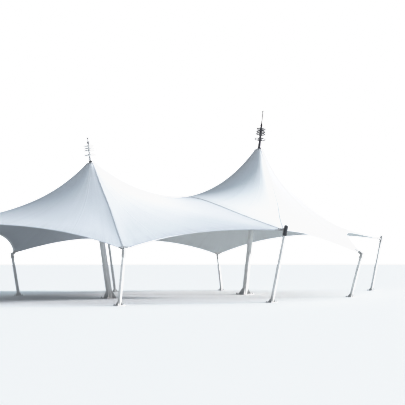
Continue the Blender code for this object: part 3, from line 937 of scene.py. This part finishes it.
def galvanised_finish(name):
    """Zinc coating with a spangled, dulled face."""
    paint = Paint(name)
    place = paint.object_place()
    spangle = paint.node("ShaderNodeTexVoronoi", {"feature": "F1"},
                         {"Vector": place, "Scale": 90.0}, output="Color")
    shade = paint.split(spangle, "X")
    stain = paint.noise(place, 14.0, 4, 0.6)
    tone = paint.mix(shade * 0.5, (0.44, 0.455, 0.47), (0.60, 0.61, 0.62))
    tone = paint.mix(stain.ease(0.52, 0.72) * 0.6, tone, (0.27, 0.25, 0.23))
    normal = paint.bump(shade * 0.0001 + stain * 0.0006)
    rough = 0.36 + 0.10 * shade + 0.25 * stain.ease(0.5, 0.7)
    return paint.set(base_color=tone, roughness=rough, metallic=0.85, normal=normal)


def rope_finish(name):
    """Stranded wire rope: six strands laid round it, with painted shade in the grooves."""
    paint = Paint(name)
    mark = paint.mark()
    around, along = paint.split(mark, "X"), paint.split(mark, "Y")
    turn = ((around + along / 0.144) * 6.0 * math.pi).math("SINE").math("ABSOLUTE")
    wires = ((around * 2.0 - along / 0.036) * 12.0 * math.pi).math("SINE").math("ABSOLUTE")
    stain = paint.noise(paint.object_place(), 6.0, 4, 0.6)
    # Painted shade: the grooves between the strands are coloured darker
    groove = 1 - turn.ease(0.05, 0.55)
    tone = paint.mix(groove, (0.62, 0.63, 0.64), (0.24, 0.24, 0.25))
    tone = paint.mix(stain.ease(0.55, 0.75) * 0.4, tone, (0.30, 0.24, 0.20))
    normal = paint.bump(turn * 0.0022 + wires * 0.0003)
    return paint.set(base_color=tone, roughness=0.40 + 0.25 * groove, metallic=0.4,
                     normal=normal)


FINISHES = {}


def finishes():
    """The canopy's materials, made once."""
    if not FINISHES:
        cloth, steel = bpy.context.scene.canopy_cloth, bpy.context.scene.canopy_steel
        pale, dark = tuple(steel.pale), tuple(steel.dark)
        # Each cone's upper face takes its white, the right cone's painted brighter as painted
        # light, and its lower face takes a painted shade colour
        for side, white, below in (("left", cloth.white, cloth.underside),
                                   ("right", cloth.painted_sunlit, cloth.glowing)):
            FINISHES[f"{side}_cloth"] = cloth_finish(
                f"coated_{side}_cloth", tuple(white), tuple(cloth.soiled))
            FINISHES[f"{side}_underside"] = cloth_finish(
                f"coated_{side}_underside", tuple(below), tuple(part * 0.7 for part in below))
        FINISHES.update(
            tape=webbing_finish("welded_tape", (0.62, 0.64, 0.66)),
            pale_tape=webbing_finish("pale_welded_tape", (0.46, 0.48, 0.50)),
            hem=webbing_finish("hem_cloth", (0.80, 0.83, 0.86)),
            pale=painted_finish("pale_paint", pale, 1.0, 0.35),
            dark=painted_finish("dark_paint", dark, 0.8, 0.5, 0.35),
            grey=painted_finish("grey_paint", tuple(part * 0.75 for part in pale), 1.0, 0.5),
            # Painted light: the left finial and its rod are pale copies of the right finial's and
            # rod's dark paint, standing in for the glare and haze that wash them out
            left_finial=painted_finish("left_finial_paint", (0.88, 0.88, 0.87), 0.4, 0.2),
            left_rod=painted_finish("left_rod_paint", (0.45, 0.455, 0.46), 0.4, 0.2),
            right_rod=painted_finish("right_rod_paint", (0.030, 0.030, 0.034), 0.3, 0.1),
            right_finial=painted_finish("right_finial_paint", (0.12, 0.125, 0.14), 0.8, 0.3, 0.3),
            cap=painted_finish("cap_paint", (0.62, 0.65, 0.68), 1.3, 0.25, 0.2),
            zinc=galvanised_finish("galvanised_steel"),
            rope=rope_finish("wire_rope"))
    return FINISHES


# Cloth

def from_line(places, line):
    """Shortest distance from each place to the links of a closed line."""
    span = np.roll(line, -1, 0) - line
    size = np.maximum((span ** 2).sum(1), 1e-12)
    flat = places.reshape(-1, 1, 3)
    share = ((flat - line) * span).sum(2) / size
    near = line + np.clip(share, 0, 1)[..., None] * span
    return np.linalg.norm(flat - near, axis=2).min(1).reshape(places.shape[:-1])


def cloth_marks(side):
    """Distances in metres from each place to the seams, corners, peak ring and rim."""
    places = cloth_places(side)
    down = np.zeros(places.shape[:2])
    down[1:] = np.linalg.norm(np.diff(places, axis=0), axis=2).cumsum(0)
    seams = [start + COLUMN_PARTS * steps * gore // gores
             for start, steps, gores in zip(corner_columns(), SIDE_STEPS, GORES)
             for gore in range(gores)]
    return {"seam": beside(side, places, seams).min(2), "peak": down,
            "corner": from_corners(side, places).min(2),
            "rim": from_line(places, places[-1, :-1])}


def cut_back(side):
    """The cloth's places, drawn in from the ropes and from the hubs of its corners."""
    places = cloth_places(side).copy()
    hem = bpy.context.scene.canopy_cloth.hem_radius
    places[-1] += unit(places[-2] - places[-1]) * hem * 0.8
    for name in CONES[side]:
        away = places - np.array(CORNERS[name])
        reach = np.linalg.norm(away, axis=2, keepdims=True)
        pushed = away / np.maximum(reach, 1e-9) * CORNER_HOLE
        places = np.where(reach < CORNER_HOLE, np.array(CORNERS[name]) + pushed, places)
    places[-1, -1] = places[-1, 0]
    return places


def make_cloth(side):
    """One membrane with its marks, and its area in square metres."""
    places, marks = cloth_places(side), cloth_marks(side)
    width = np.linspace(0, run_along(places[-1])[-1], places.shape[1])
    pattern = np.stack(np.broadcast_arrays(width[None], marks["peak"]), -1)
    shape = lattice(cut_back(side), pattern)
    for name, values in marks.items():
        layer = shape.verts.layers.float.new(name)
        for vert, value in zip(shape.verts, values.reshape(-1)):
            vert[layer] = value
    # The lower face takes the darker underside finish, painted shade
    thing = piece(f"{side}_cloth", facing(weld(shape)), (f"{side}_cloth", f"{side}_underside"),
                  [f"{side}_membrane"], sharp=180)
    thick_cloth(thing, bpy.context.scene.canopy_cloth.thickness, lower=1)
    crossed = np.cross(places[1:, 1:] - places[:-1, :-1], places[:-1, 1:] - places[1:, :-1])
    return thing, float(np.linalg.norm(crossed, axis=2).sum() / 2)


def ridge_tape(side, column, width):
    """A tape along one column of the cloth, folded over the crease there."""
    places, normals = cloth_places(side)[:, :-1], cloth_normals(side)[:, :-1]
    run = run_along(places[:, column])
    stations = np.linspace(0.04, run[-1] - PLATE_REACH + 0.02, 60)
    before, line, after, lift = (sampled(stations, run, values) for values in (
        places[:, column - 1], places[:, column], places[:, column + 1], normals[:, column]))
    ahead = unit(np.gradient(line, axis=0))
    strips = []
    for share in (-1.0, -0.5, 0.0, 0.5, 1.0):
        aside = (after if share > 0 else before) - line
        aside = unit(aside - (aside * ahead).sum(1, keepdims=True) * ahead)
        strips.append(line + lift * 0.004 + aside * abs(share) * width / 2)
    marks = marks_over(np.linspace(0, width, len(strips)), stations)
    return thicken(facing(lattice(np.stack(strips, 1), marks)), 0.003)


def make_ridge_tapes(side):
    width, columns = bpy.context.scene.canopy_cloth.tape_width, corner_columns()
    for name, finish, picked in (("valley", "pale_tape", columns[:2]),
                                 ("ridge", "tape", columns[2:])):
        if (side, name) != ("left", "valley"):
            shapes = [ridge_tape(side, column, width) for column in picked]
            piece(f"{side}_{name}_tapes", joined(shapes), finish, sharp=60)


def rim_frames(side, number):
    """Line, inward way and lift of the cloth along one side of a cone's rim."""
    places, normals, span = cloth_places(side), cloth_normals(side), side_span(number)
    line = places[-1, span]
    ahead = unit(np.gradient(line, axis=0))
    inward = places[-2, span] - line
    inward = unit(inward - (inward * ahead).sum(1, keepdims=True) * ahead)
    lift = np.cross(inward, ahead)
    up = np.sign((lift * normals[-2, span]).sum(1, keepdims=True))
    return line, inward, unit(lift * up)


def make_hem(side, number):
    """The pocket that wraps an edge cable, its two tails welded to the cloth."""
    settings = bpy.context.scene.canopy_cloth
    line, inward, lift = rim_frames(side, number)
    run = run_along(line)
    stations = np.arange(HEM_START, run[-1] - HEM_START, HEM_STEP)
    middle, inward, lift = (sampled(stations, run, values) for values in (line, inward, lift))
    inward, lift = unit(inward), unit(lift)
    radius, tail = settings.hem_radius, settings.hem_width
    profile = [(tail, 0.0042), (tail * 0.55, 0.0048), (radius * 1.1, radius * 0.62)]
    profile += [(math.cos(angle) * radius, math.sin(angle) * radius)
                for angle in np.radians(HEM_BENDS)]
    profile += [(radius * 1.1, -radius * 0.62), (tail * 0.55, -0.0078), (tail, -0.0072)]
    places = np.stack([middle + inward * x + lift * y for x, y in profile], 1)
    girth = tail * 2 + math.pi * radius
    shape = lattice(places, marks_over(np.linspace(0, girth, len(profile)), stations))
    thing = piece("hem_{}_to_{}".format(*bays(side)[number]), shape, "hem",
                  sharp=60)
    thick_cloth(thing, STRIP_THICKNESS)


def make_valley_flap():
    """The trough of cloth under the valley cable that joins the two membranes."""
    rows = {side: [values[::step] for values in rim_frames(side, 0)]
            for side, step in (("left", 1), ("right", -1))}
    run = run_along(rows["left"][0])
    inside = (run > HEM_START) & (run < run[-1] - HEM_START)
    wing = [(FLAP_WING, -0.005), (0.05, -0.006), (0.020, -0.009),
            (0.004, -VALLEY_CABLE_RADIUS - FLAP_CLEARANCE)]
    profile = ([("left", x, y) for x, y in wing] + [("right", x, y) for x, y in reversed(wing)])
    places = np.stack([rows[side][0] + rows[side][1] * x + rows[side][2] * y
                       for side, x, y in profile], 1)[inside]
    marks = marks_over(np.linspace(0, FLAP_GIRTH, len(profile)), run[inside])
    thing = piece("valley_flap", facing(lattice(places, marks)), "hem",
                  sharp=60)
    thick_cloth(thing, STRIP_THICKNESS)


# Operators and the pieces that they make

class CanopyOperator:
    """Shared settings of the canopy's operators."""
    bl_options = {"REGISTER", "UNDO"}


class CANOPY_OT_cloth(CanopyOperator, bpy.types.Operator):
    """Make both membranes with their ridge tapes"""
    bl_idname = "canopy.cloth"
    bl_label = "Membranes"

    def execute(self, context):
        for side in CONES:
            thing, area = make_cloth(side)
            make_ridge_tapes(side)
        return {"FINISHED"}


class CANOPY_OT_hems(CanopyOperator, bpy.types.Operator):
    """Make the cable pockets round the rim and the valley flap"""
    bl_idname = "canopy.hems"
    bl_label = "Hems and Valley Flap"

    def execute(self, context):
        for side in CONES:
            for number in range(1, len(SIDE_STEPS)):
                make_hem(side, number)
        make_valley_flap()
        return {"FINISHED"}


def swage(corner, ends):
    """A swaged cable end that stands on the hub and runs out over the bare rope."""
    way, radius = corner.ropes[ends], rope_radius(ends)
    tilt = math.asin(abs(way.dot(corner.normal)))
    start = corner.point + way * (HUB_RADIUS + GAP + radius * math.sin(tilt)) / math.cos(tilt)
    thick, long = radius * 1.9, SWAGE_LENGTH
    profile = [(0, 0), (thick * 0.9, 0), (thick * 1.25, 0.006), (thick * 1.25, 0.030),
               (thick, 0.040), (thick, long), (thick * 0.86, long + 0.012),
               (radius * 1.08, long + 0.040), (0, long + 0.040)]
    return turned(profile, frame_along(way, start, corner.normal), steps=24)


class CANOPY_OT_cables(CanopyOperator, bpy.types.Operator):
    """Make the edge cables and the valley cable with their swaged ends"""
    bl_idname = "canopy.cables"
    bl_label = "Cables"

    def execute(self, context):
        for ends, line in rope_lines().items():
            name = "valley_cable" if ends == VALLEY_ENDS else "edge_cable_{}_to_{}".format(*ends)
            piece(f"{name}_rope", tube_along(between(line, ROPE_CUT), rope_radius(ends)),
                  "rope", [name], sharp=60)
            swages = [swage(corners()[end], ends) for end in ends]
            piece(f"{name}_ends", joined(swages), "zinc")
        return {"FINISHED"}


def clamp_plate(corner, side, lift):
    """A folded sector plate that follows the cloth between two ropes, and its bolts' places."""
    point, places = np.array(corner.point), cloth_places(side)[:, :-1]
    column = corner_columns()[CONES[side].index(corner.name)]
    first, last = (unit(places[-1, (column + step) % places.shape[1]] - point)
                   for step in (-4, 4))
    seam = unit(places[-4, column] - point)
    rows = []
    for radius in CLAMP_RADII:
        end = max(0, (radius - PLATE_REACH) / CLAMP_ROUND + 1)
        trim = (CLAMP_MARGIN + (1 - math.sqrt(max(0, 1 - end ** 2))) * CLAMP_ROUND) / radius
        row = []
        for low, high, start, stop in ((first, seam, trim, 0), (seam, last, 0, trim)):
            angle = math.acos(np.clip(low @ high, -1, 1))
            for share in np.linspace(start / angle, 1 - stop / angle, 7):
                way = math.sin((1 - share) * angle) * low + math.sin(share * angle) * high
                row.append(point + unit(way) * radius)
        rows.append(row[:7] + row[8:])
    places = np.array(rows)
    shape = facing(lattice(places + np.array(corner.normal) * lift), corner.normal)
    holes = []
    for row, count in ((places[3], 3), (places[5], 5)):
        for pick in np.linspace(1.2, len(row) - 2.2, count):
            low = int(pick)
            holes.append(Vector(row[low] + (row[low + 1] - row[low]) * (pick - low)))
    return thicken(shape, CLAMP_THICKNESS, corner.normal), holes


def clamp(corner, radius):
    """The plates over and under the cloth at a corner, and the bolts that hold them."""
    plates, bolts = [], []
    above, below = CLAMP_LIFTS
    for side in (side for side, names in CONES.items() if corner.name in names):
        for lift, seat, axis, stand in (
                (above, above, corner.normal, 0.004),
                (below, below - CLAMP_THICKNESS, -corner.normal, 0.0)):
            shape, holes = clamp_plate(corner, side, lift)
            plates.append(shape)
            for hole in holes:
                bolts += bolt(hole + corner.normal * seat, axis, radius, stand)
    return plates, bolts


class CANOPY_OT_corners(CanopyOperator, bpy.types.Operator):
    """Make each rim corner's head, hub, tongue, clamp plates and bolts"""
    bl_idname = "canopy.corners"
    bl_label = "Corner Fittings"

    def execute(self, context):
        for corner in corners().values():
            plates, bolts = clamp(corner, context.scene.canopy_steel.bolt_radius)
            for way, stand in ((corner.normal, 0.006), (-corner.normal, 0.0)):
                bolts += bolt(corner.point + way * (HUB_HEIGHT / 2), way, HUB_BOLT, stand)
            name, fitting = corner.name, [f"corner_fitting_{corner.name}"]
            piece(f"hub_{name}", self.hub(corner), "grey", fitting)
            dark = name in VALLEY_ENDS
            piece(f"head_{name}", self.head(corner), "dark" if dark else "grey",
                  fitting)
            piece(f"clamp_plates_{name}", joined(plates), "grey")
            piece(f"clamp_bolts_{name}", joined(bolts), "zinc")
        return {"FINISHED"}

    def hub(self, corner):
        """The waisted hub that takes both ropes, on its ribbed tongue."""
        half, way = HUB_HEIGHT / 2, corner.normal
        hub = turned(mirrored([(0, -half), (HUB_NECK, -half), (HUB_RADIUS, -half + 0.006),
                               (HUB_RADIUS, -half + 0.020), (HUB_NECK, -half + 0.026)]),
                     frame_along(way, corner.point, corner.inward), 40)
        width, thickness = TONGUE_SIZE
        middle = corner.point - corner.inward * POST_STANDOFF / 2
        tongue = box((POST_STANDOFF, width, thickness),
                     frame_along(way, middle, corner.inward), 0.003)
        rib = plate([(-0.085, 0.0), (0.05, 0.0), (-0.085, -0.11)], 0.012,
                    frame_along(corner.inward.cross(way), middle, corner.inward), 0.0015)
        return joined([tongue, rib, hub])

    def head(self, corner):
        """The domed sleeve on the post's end, with a band round it."""
        reach, top = corner.radius + HEAD_SLEEVE, corner.head_above
        outer, way = reach + BAND_DEPTH, corner.post_way
        sleeve = turned([(0, -HEAD_BELOW), (reach - 0.002, -HEAD_BELOW),
                         (reach, -HEAD_BELOW + 0.003), (reach, top - 0.030),
                         (reach - 0.004, top - 0.016), (reach - 0.014, top - 0.005),
                         (reach - 0.030, top), (0, top)],
                        frame_along(way, corner.post_point))
        band = turned(mirrored([(reach, -BAND_HALF), (outer, -BAND_HALF + 0.005)]),
                      frame_along(way, corner.post_point - way * BAND_DROP))
        return joined([sleeve, band])


def weld_bead(centre, axis, radius, size, level):
    """A rippled fillet of weld round a leaning tube, at one level."""
    place = frame_along(axis, centre)
    line = [place @ (way * radius) for way in ways_round(72)]
    line = [point + axis * ((level - point.z) / axis.z) for point in line]
    sizes = [size * (1 + 0.12 * math.sin(step * 1.9)) for step in range(len(line))]
    return tube_along(line, sizes, sides=8, closed=True)


def base_pieces(foot, radius, base, gusset, lean, anchor):
    """A base plate with four gussets and a weld bead, and its four anchor bolts."""
    (size, thickness), (reach, height, leaf) = base, gusset
    top = foot + Vector((0, 0, thickness))
    steel = [box((size, size, thickness), Matrix.Translation((foot + top) / 2), 0.003)]
    outline = ((0, -thickness / 2), (radius + reach, -thickness / 2), (radius + reach, 0.02),
               (radius + 0.01, height), (0, height))
    for quarter in range(4):
        place = upright(top, math.pi * (quarter / 2 + 0.25))
        steel.append(plate(outline, leaf, place, 0.0015))
        for vert in steel[-1].verts:
            rise = max(0, vert.co.z - thickness)
            vert.co += lean * (rise / lean.z) - Vector((0, 0, rise))
    start = foot + lean * (thickness / lean.z)
    steel.append(weld_bead(start, lean, radius, 0.006, thickness))
    inset = size / 2 - anchor * 3.4
    bolts = []
    for x, y in itertools.product((-inset, inset), repeat=2):
        bolts += bolt(top + Vector((x, y, 0)), Vector((0, 0, 1)), anchor, anchor * 1.6)
    return steel, bolts


def cut_level(shape, height):
    """Take off what is below a level and close the cut."""
    cut = bmesh.ops.bisect_plane(shape, geom=shape.verts[:] + shape.edges[:] + shape.faces[:],
                                 plane_co=(0, 0, height), plane_no=(0, 0, 1), clear_inner=True)
    edges = [item for item in cut["geom_cut"] if isinstance(item, bmesh.types.BMEdge)]
    bmesh.ops.holes_fill(shape, edges=edges, sides=0)
    return outward(shape)


class CANOPY_OT_posts(CanopyOperator, bpy.types.Operator):
    """Make the eight rim posts with their bases and anchors"""
    bl_idname = "canopy.posts"
    bl_label = "Rim Posts"

    def execute(self, context):
        anchor = context.scene.canopy_steel.anchor_radius * POST_ANCHOR
        for name, corner in corners().items():
            top = corner.post_point - corner.post_way * (HEAD_BELOW + GAP)
            low = corner.foot - corner.post_way * 0.2
            tube = cut_level(bar(low, top, corner.radius), POST_BASE[1] / 2)
            steel, bolts = base_pieces(corner.foot, corner.radius, POST_BASE, POST_GUSSET,
                                       corner.post_way, anchor)
            piece(f"tube_{name}", joined([tube] + steel), "pale",
                  [f"post_{name}"])
            piece(f"anchors_{name}", joined(bolts), "zinc")
        return {"FINISHED"}


class CANOPY_OT_masts(CanopyOperator, bpy.types.Operator):
    """Make the two leaning masts with their bases and anchors"""
    bl_idname = "canopy.masts"
    bl_label = "Masts"

    def execute(self, context):
        anchor = context.scene.canopy_steel.anchor_radius * MAST_ANCHOR
        for side, peak in peaks().items():
            low = peak.foot - peak.way * 0.3
            tube = cut_level(bar(low, peak.top, MAST_RADIUS, 64), MAST_BASE[1] / 2)
            steel, bolts = base_pieces(peak.foot, MAST_RADIUS, MAST_BASE, MAST_GUSSET,
                                       peak.way, anchor)
            piece(f"{side}_mast_tube", joined([tube] + steel + self.crown(peak)), "pale",
                  [f"{side}_mast"])
            piece(f"{side}_mast_anchors", joined(bolts), "zinc")
        return {"FINISHED"}

    def crown(self, peak):
        """A sleeve and the ribs that carry the peak ring on the mast."""
        sleeve = MAST_RADIUS + 0.008
        shapes = [turned([(MAST_RADIUS, -0.34), (sleeve, -0.335), (sleeve, -0.02),
                          (MAST_RADIUS, -0.02)], peak.place())]
        low = -RING_HEIGHT / 2
        rib = [(MAST_RADIUS - 0.02, low), (CROWN_REACH, low), (CROWN_REACH, low - 0.02),
               (MAST_RADIUS, low - CROWN_DROP), (MAST_RADIUS - 0.03, low - CROWN_DROP)]
        for number in range(CROWN_RIBS):
            place = upright(peak.point, math.pi * (2 * number + 1) / CROWN_RIBS)
            shapes.append(plate(rib, 0.010, place, 0.0015))
        return shapes


class CANOPY_OT_peaks(CanopyOperator, bpy.types.Operator):
    """Make the clamping ring and rain cap of each peak"""
    bl_idname = "canopy.peaks"
    bl_label = "Peak Rings and Caps"

    def execute(self, context):
        for side, peak in peaks().items():
            flat = Matrix.Translation(peak.point)
            piece(f"{side}_ring", self.ring(flat), "pale",
                  [f"{side}_peak_ring"])
            bolts = []
            for way in ways_round(RING_BOLTS, math.pi / RING_BOLTS):
                seat = peak.point + way * (RING_BAND[1] - 0.0002) - Vector((0, 0, 0.020))
                bolts += bolt(seat, way, 0.006, 0.002)
            piece(f"{side}_ring_bolts", joined(bolts), "zinc")
            piece(f"{side}_cap", self.cap(flat), "cap", [f"{side}_rain_cap"])
        return {"FINISHED"}

    def ring(self, flat):
        """The flat ring inside the cloth and the band that clamps the cloth to it."""
        half, bore, edge = RING_HEIGHT / 2, MAST_RADIUS + 0.001, RING_RADIUS
        inner, outer = RING_BAND
        ring = [(bore, -half), (edge - 0.0085, -half), (edge, -half + 0.004),
                (edge, half - 0.004), (edge - 0.0065, half), (bore, half), (bore, -half)]
        band = [(inner, -0.050), (outer, -0.048), (outer, 0.008), (inner, 0.010),
                (inner, -0.050)]
        return joined([turned(profile, flat, 96) for profile in (ring, band)])

    def cap(self, flat):
        """The low cone of sheet that sheds rain off the ring."""
        low = RING_HEIGHT / 2 + GAP
        high, (wide, narrow) = low + CAP_HEIGHT, CAP_RADII
        bore, thick = FINIAL_RADII[0] + 0.012, 0.004
        return turned([(bore, high), (narrow, high), (narrow + 0.008, high - 0.003),
                       (wide - 0.006, low + 0.007), (wide, low + 0.003), (wide - 0.003, low),
                       (wide - 0.012, low), (narrow, high - thick), (bore, high - thick),
                       (bore, high)], flat, 96)


class CANOPY_OT_finials(CanopyOperator, bpy.types.Operator):
    """Make the hooped finial tubes and their knobbed rods"""
    bl_idname = "canopy.finials"
    bl_label = "Finials"

    def execute(self, context):
        for side, peak in peaks().items():
            # The left finial and rod take pale finishes, painted light; the right ones take the
            # dark paint
            piece(f"{side}_finial_stem", self.stem(peak), f"{side}_finial",
                  [f"{side}_finial_tube"])
            foot, bolts = self.foot(peak)
            piece(f"{side}_finial_foot", foot, "right_finial")
            piece(f"{side}_finial_bolts", joined(bolts), "zinc")
            piece(f"{side}_finial_spike", self.spike(peak), f"{side}_rod",
                  [f"{side}_finial_rod"])
        return {"FINISHED"}

    def stem(self, peak):
        """The tapering tube with a lip at its top and four hoops."""
        base, high = MAST_ABOVE_PEAK + GAP, COLLAR_SPAN[1]
        (wide, narrow), top = FINIAL_RADII, KNOB_SPAN[0] * peak.scale
        lip = narrow + 0.006
        shapes = [turned([(0, base), (wide, base), (wide, high), (narrow + 0.002, top - 0.020),
                          (lip, top - 0.014), (lip, top - 0.004), (narrow, top), (0, top)],
                         peak.place())]
        for number, (height, radius) in enumerate(FINIAL_HOOPS):
            place = peak.place(height * peak.scale)
            shapes += self.hoop(place, number, radius * (0.5 + peak.scale / 2))
        return joined(shapes)

    def hoop(self, place, number, radius):
        """One round hoop, its two crossed spokes and a boss where they meet the tube."""
        angles = np.linspace(0, 2 * math.pi, 17)
        rim = [(radius + HOOP_BAR * math.cos(angle), HOOP_BAR * math.sin(angle))
               for angle in angles]
        boss = FINIAL_RADII[0] + 0.004
        hub = mirrored([(boss - 0.02, -0.020), (boss - 0.004, -0.020), (boss, -0.014)])
        spokes = []
        for way in ways_round(4, math.pi * (1 / 18 + number / 9))[:2]:
            along = place.to_3x3() @ way * radius
            middle = place.translation
            spokes.append(bar(middle - along, middle + along, HOOP_BAR * 0.6, sides=16))
        return [turned(rim, place, 64)] + spokes + [turned(hub, place, 40)]

    def foot(self, peak):
        """The collar at the tube's foot, and its bolts."""
        (low, high), wide, lip = COLLAR_SPAN, FINIAL_RADII[0], 0.006
        collar = turned([(wide, low), (COLLAR_RADIUS - lip, low), (COLLAR_RADIUS, low + lip),
                         (COLLAR_RADIUS, high - lip), (COLLAR_RADIUS - lip, high),
                         (wide + 0.012, high), (wide, high + 0.014), (wide, low)],
                        peak.place())
        bolts = []
        for way in ways_round(COLLAR_BOLTS):
            seat = peak.place(high) @ (way * (COLLAR_RADIUS - 0.014))
            bolts += bolt(seat, peak.way, 0.0045)
        return collar, bolts

    def spike(self, peak):
        """The bulging knob, the thin rod and the ball at its tip."""
        start, end = KNOB_SPAN[0] * peak.scale + GAP, KNOB_SPAN[1] * peak.scale
        tip, narrow = FINIAL_TIP[peak.side], FINIAL_RADII[1] * 0.8
        ball = tip - TIP_BALL_RADIUS
        profile = [(0, start)]
        for share in np.linspace(0, 1, 15):
            bulge = math.sin(math.pi * share) ** 0.9 * (1 - 0.15 * abs(2 * share - 1))
            taper = narrow + (ROD_RADIUS - narrow) * share
            profile.append((taper + (KNOB_RADIUS - taper) * bulge,
                            start + (end - start) * share))
        profile += [(ROD_RADIUS, end + 0.03), (ROD_RADIUS * 0.8, ball - TIP_BALL_RADIUS * 0.85)]
        profile += [(TIP_BALL_RADIUS * math.sin(angle), ball - TIP_BALL_RADIUS * math.cos(angle))
                    for angle in np.linspace(0.55, math.pi, 12)[:-1]]
        return turned(profile + [(0, tip)], peak.place(), 40)


class CANOPY_OT_studio(CanopyOperator, bpy.types.Operator):
    """Make the floor, the lights and the camera"""
    bl_idname = "canopy.studio"
    bl_label = "Studio"

    def execute(self, context):
        settings = context.scene.canopy_studio
        self.floor(settings)
        turn = settings.bearing + math.pi / 2
        self.lamp("key", settings.key, 5, (1.0, 0.94, 0.93),
                  (math.pi / 2 - settings.elevation, 0, turn))
        self.lamp("overhead", settings.overhead, 100, (0.81, 0.94, 1.0),
                  (math.radians(25), 0, turn))
        self.sky(context.scene, settings)
        self.camera(context.scene, settings)
        self.shoulder(context.scene.view_settings, settings.white)
        return {"FINISHED"}

    def add(self, name, data):
        thing = bpy.data.objects.new(name, data)
        bpy.context.scene.collection.objects.link(thing)
        return thing

    def floor(self, settings):
        shape = bmesh.new()
        bmesh.ops.create_grid(shape, x_segments=1, y_segments=1, size=600,
                              matrix=Matrix.Translation((0, 0, -0.002)))
        mesh = bpy.data.meshes.new("floor")
        shape.to_mesh(mesh)
        shape.free()
        mesh.materials.append(Paint("floor").set(base_color=(*settings.floor, 1), roughness=0.9))
        self.add("floor", mesh)

    def lamp(self, name, strength, spread, shade, turn):
        """A sun lamp with the spread of its light in degrees."""
        sun = bpy.data.lights.new(name, "SUN")
        sun.energy, sun.angle, sun.color = strength, math.radians(spread), shade
        self.add(name, sun).rotation_euler = turn

    def sky(self, scene, settings):
        """An even light, behind a backdrop of full white that only the camera sees."""
        world = scene.world = bpy.data.worlds.new("studio")
        world.use_nodes = True
        tree = world.node_tree
        sky = tree.nodes["Background"]
        backdrop = tree.nodes.new("ShaderNodeBackground")
        for node, shade, strength in ((sky, (0.88, 0.90, 1.0, 1), settings.fill),
                                      (backdrop, (1, 1, 1, 1), settings.white)):
            node.inputs["Color"].default_value = shade
            node.inputs["Strength"].default_value = strength
        choose = tree.nodes.new("ShaderNodeMixShader")
        path = tree.nodes.new("ShaderNodeLightPath")
        for start, end in ((path.outputs["Is Camera Ray"], choose.inputs[0]),
                           (sky.outputs[0], choose.inputs[1]),
                           (backdrop.outputs[0], choose.inputs[2]),
                           (choose.outputs[0], tree.nodes["World Output"].inputs["Surface"])):
            tree.links.new(start, end)

    def camera(self, scene, settings):
        camera = bpy.data.cameras.new("camera")
        camera.sensor_width = 36
        camera.lens = FOCAL_LENGTH / IMAGE_WIDTH * camera.sensor_width
        camera.shift_y = CENTRE_DROP / IMAGE_WIDTH
        camera.clip_end = 1000
        thing = scene.camera = self.add("camera", camera)
        thing.location = (CAMERA_X, CAMERA_Y, settings.eye_height)
        thing.rotation_euler = (math.radians(90 + CAMERA_PITCH), 0, -math.radians(CAMERA_YAW))

    def shoulder(self, view, white):
        """Hold back the brightest light from white, as a photograph does."""
        view.view_transform = "Standard"
        view.use_curve_mapping = True
        view.curve_mapping.white_level = [white] * 3
        for light, shown in SHOULDER:
            view.curve_mapping.curves[3].points.new(light / white, shown)
        view.curve_mapping.update()


class CANOPY_PT_panel(bpy.types.Panel):
    """Shows the canopy's settings and its steps"""
    bl_label = "Canopy"
    bl_idname = "CANOPY_PT_panel"
    bl_space_type = "VIEW_3D"
    bl_region_type = "UI"
    bl_category = "Canopy"

    def draw(self, context):
        for name in ("canopy_cloth", "canopy_steel", "canopy_studio"):
            group = getattr(context.scene, name)
            for field in group.bl_rna.properties:
                if field.identifier not in ("rna_type", "name"):
                    self.layout.prop(group, field.identifier)
        for operator in OPERATORS:
            self.layout.operator(operator.bl_idname)


OPERATORS = (CANOPY_OT_cloth, CANOPY_OT_hems, CANOPY_OT_cables, CANOPY_OT_corners,
             CANOPY_OT_posts, CANOPY_OT_masts, CANOPY_OT_peaks, CANOPY_OT_finials,
             CANOPY_OT_studio)
GROUPS = {"canopy_cloth": ClothSettings, "canopy_steel": SteelSettings,
          "canopy_studio": StudioSettings}


def register():
    for name, group in GROUPS.items():
        bpy.utils.register_class(group)
        setattr(bpy.types.Scene, name, bpy.props.PointerProperty(type=group))
    for operator in OPERATORS:
        bpy.utils.register_class(operator)
    bpy.utils.register_class(CANOPY_PT_panel)


def unregister():
    bpy.utils.unregister_class(CANOPY_PT_panel)
    for operator in reversed(OPERATORS):
        bpy.utils.unregister_class(operator)
    for name, group in GROUPS.items():
        delattr(bpy.types.Scene, name)
        bpy.utils.unregister_class(group)


def main():
    register()
    bpy.ops.canopy.cloth()
    bpy.ops.canopy.hems()
    bpy.ops.canopy.cables()
    bpy.ops.canopy.corners()
    bpy.ops.canopy.posts()
    bpy.ops.canopy.masts()
    bpy.ops.canopy.peaks()
    bpy.ops.canopy.finials()
    bpy.ops.canopy.studio()


if __name__ == "__main__":
    main()
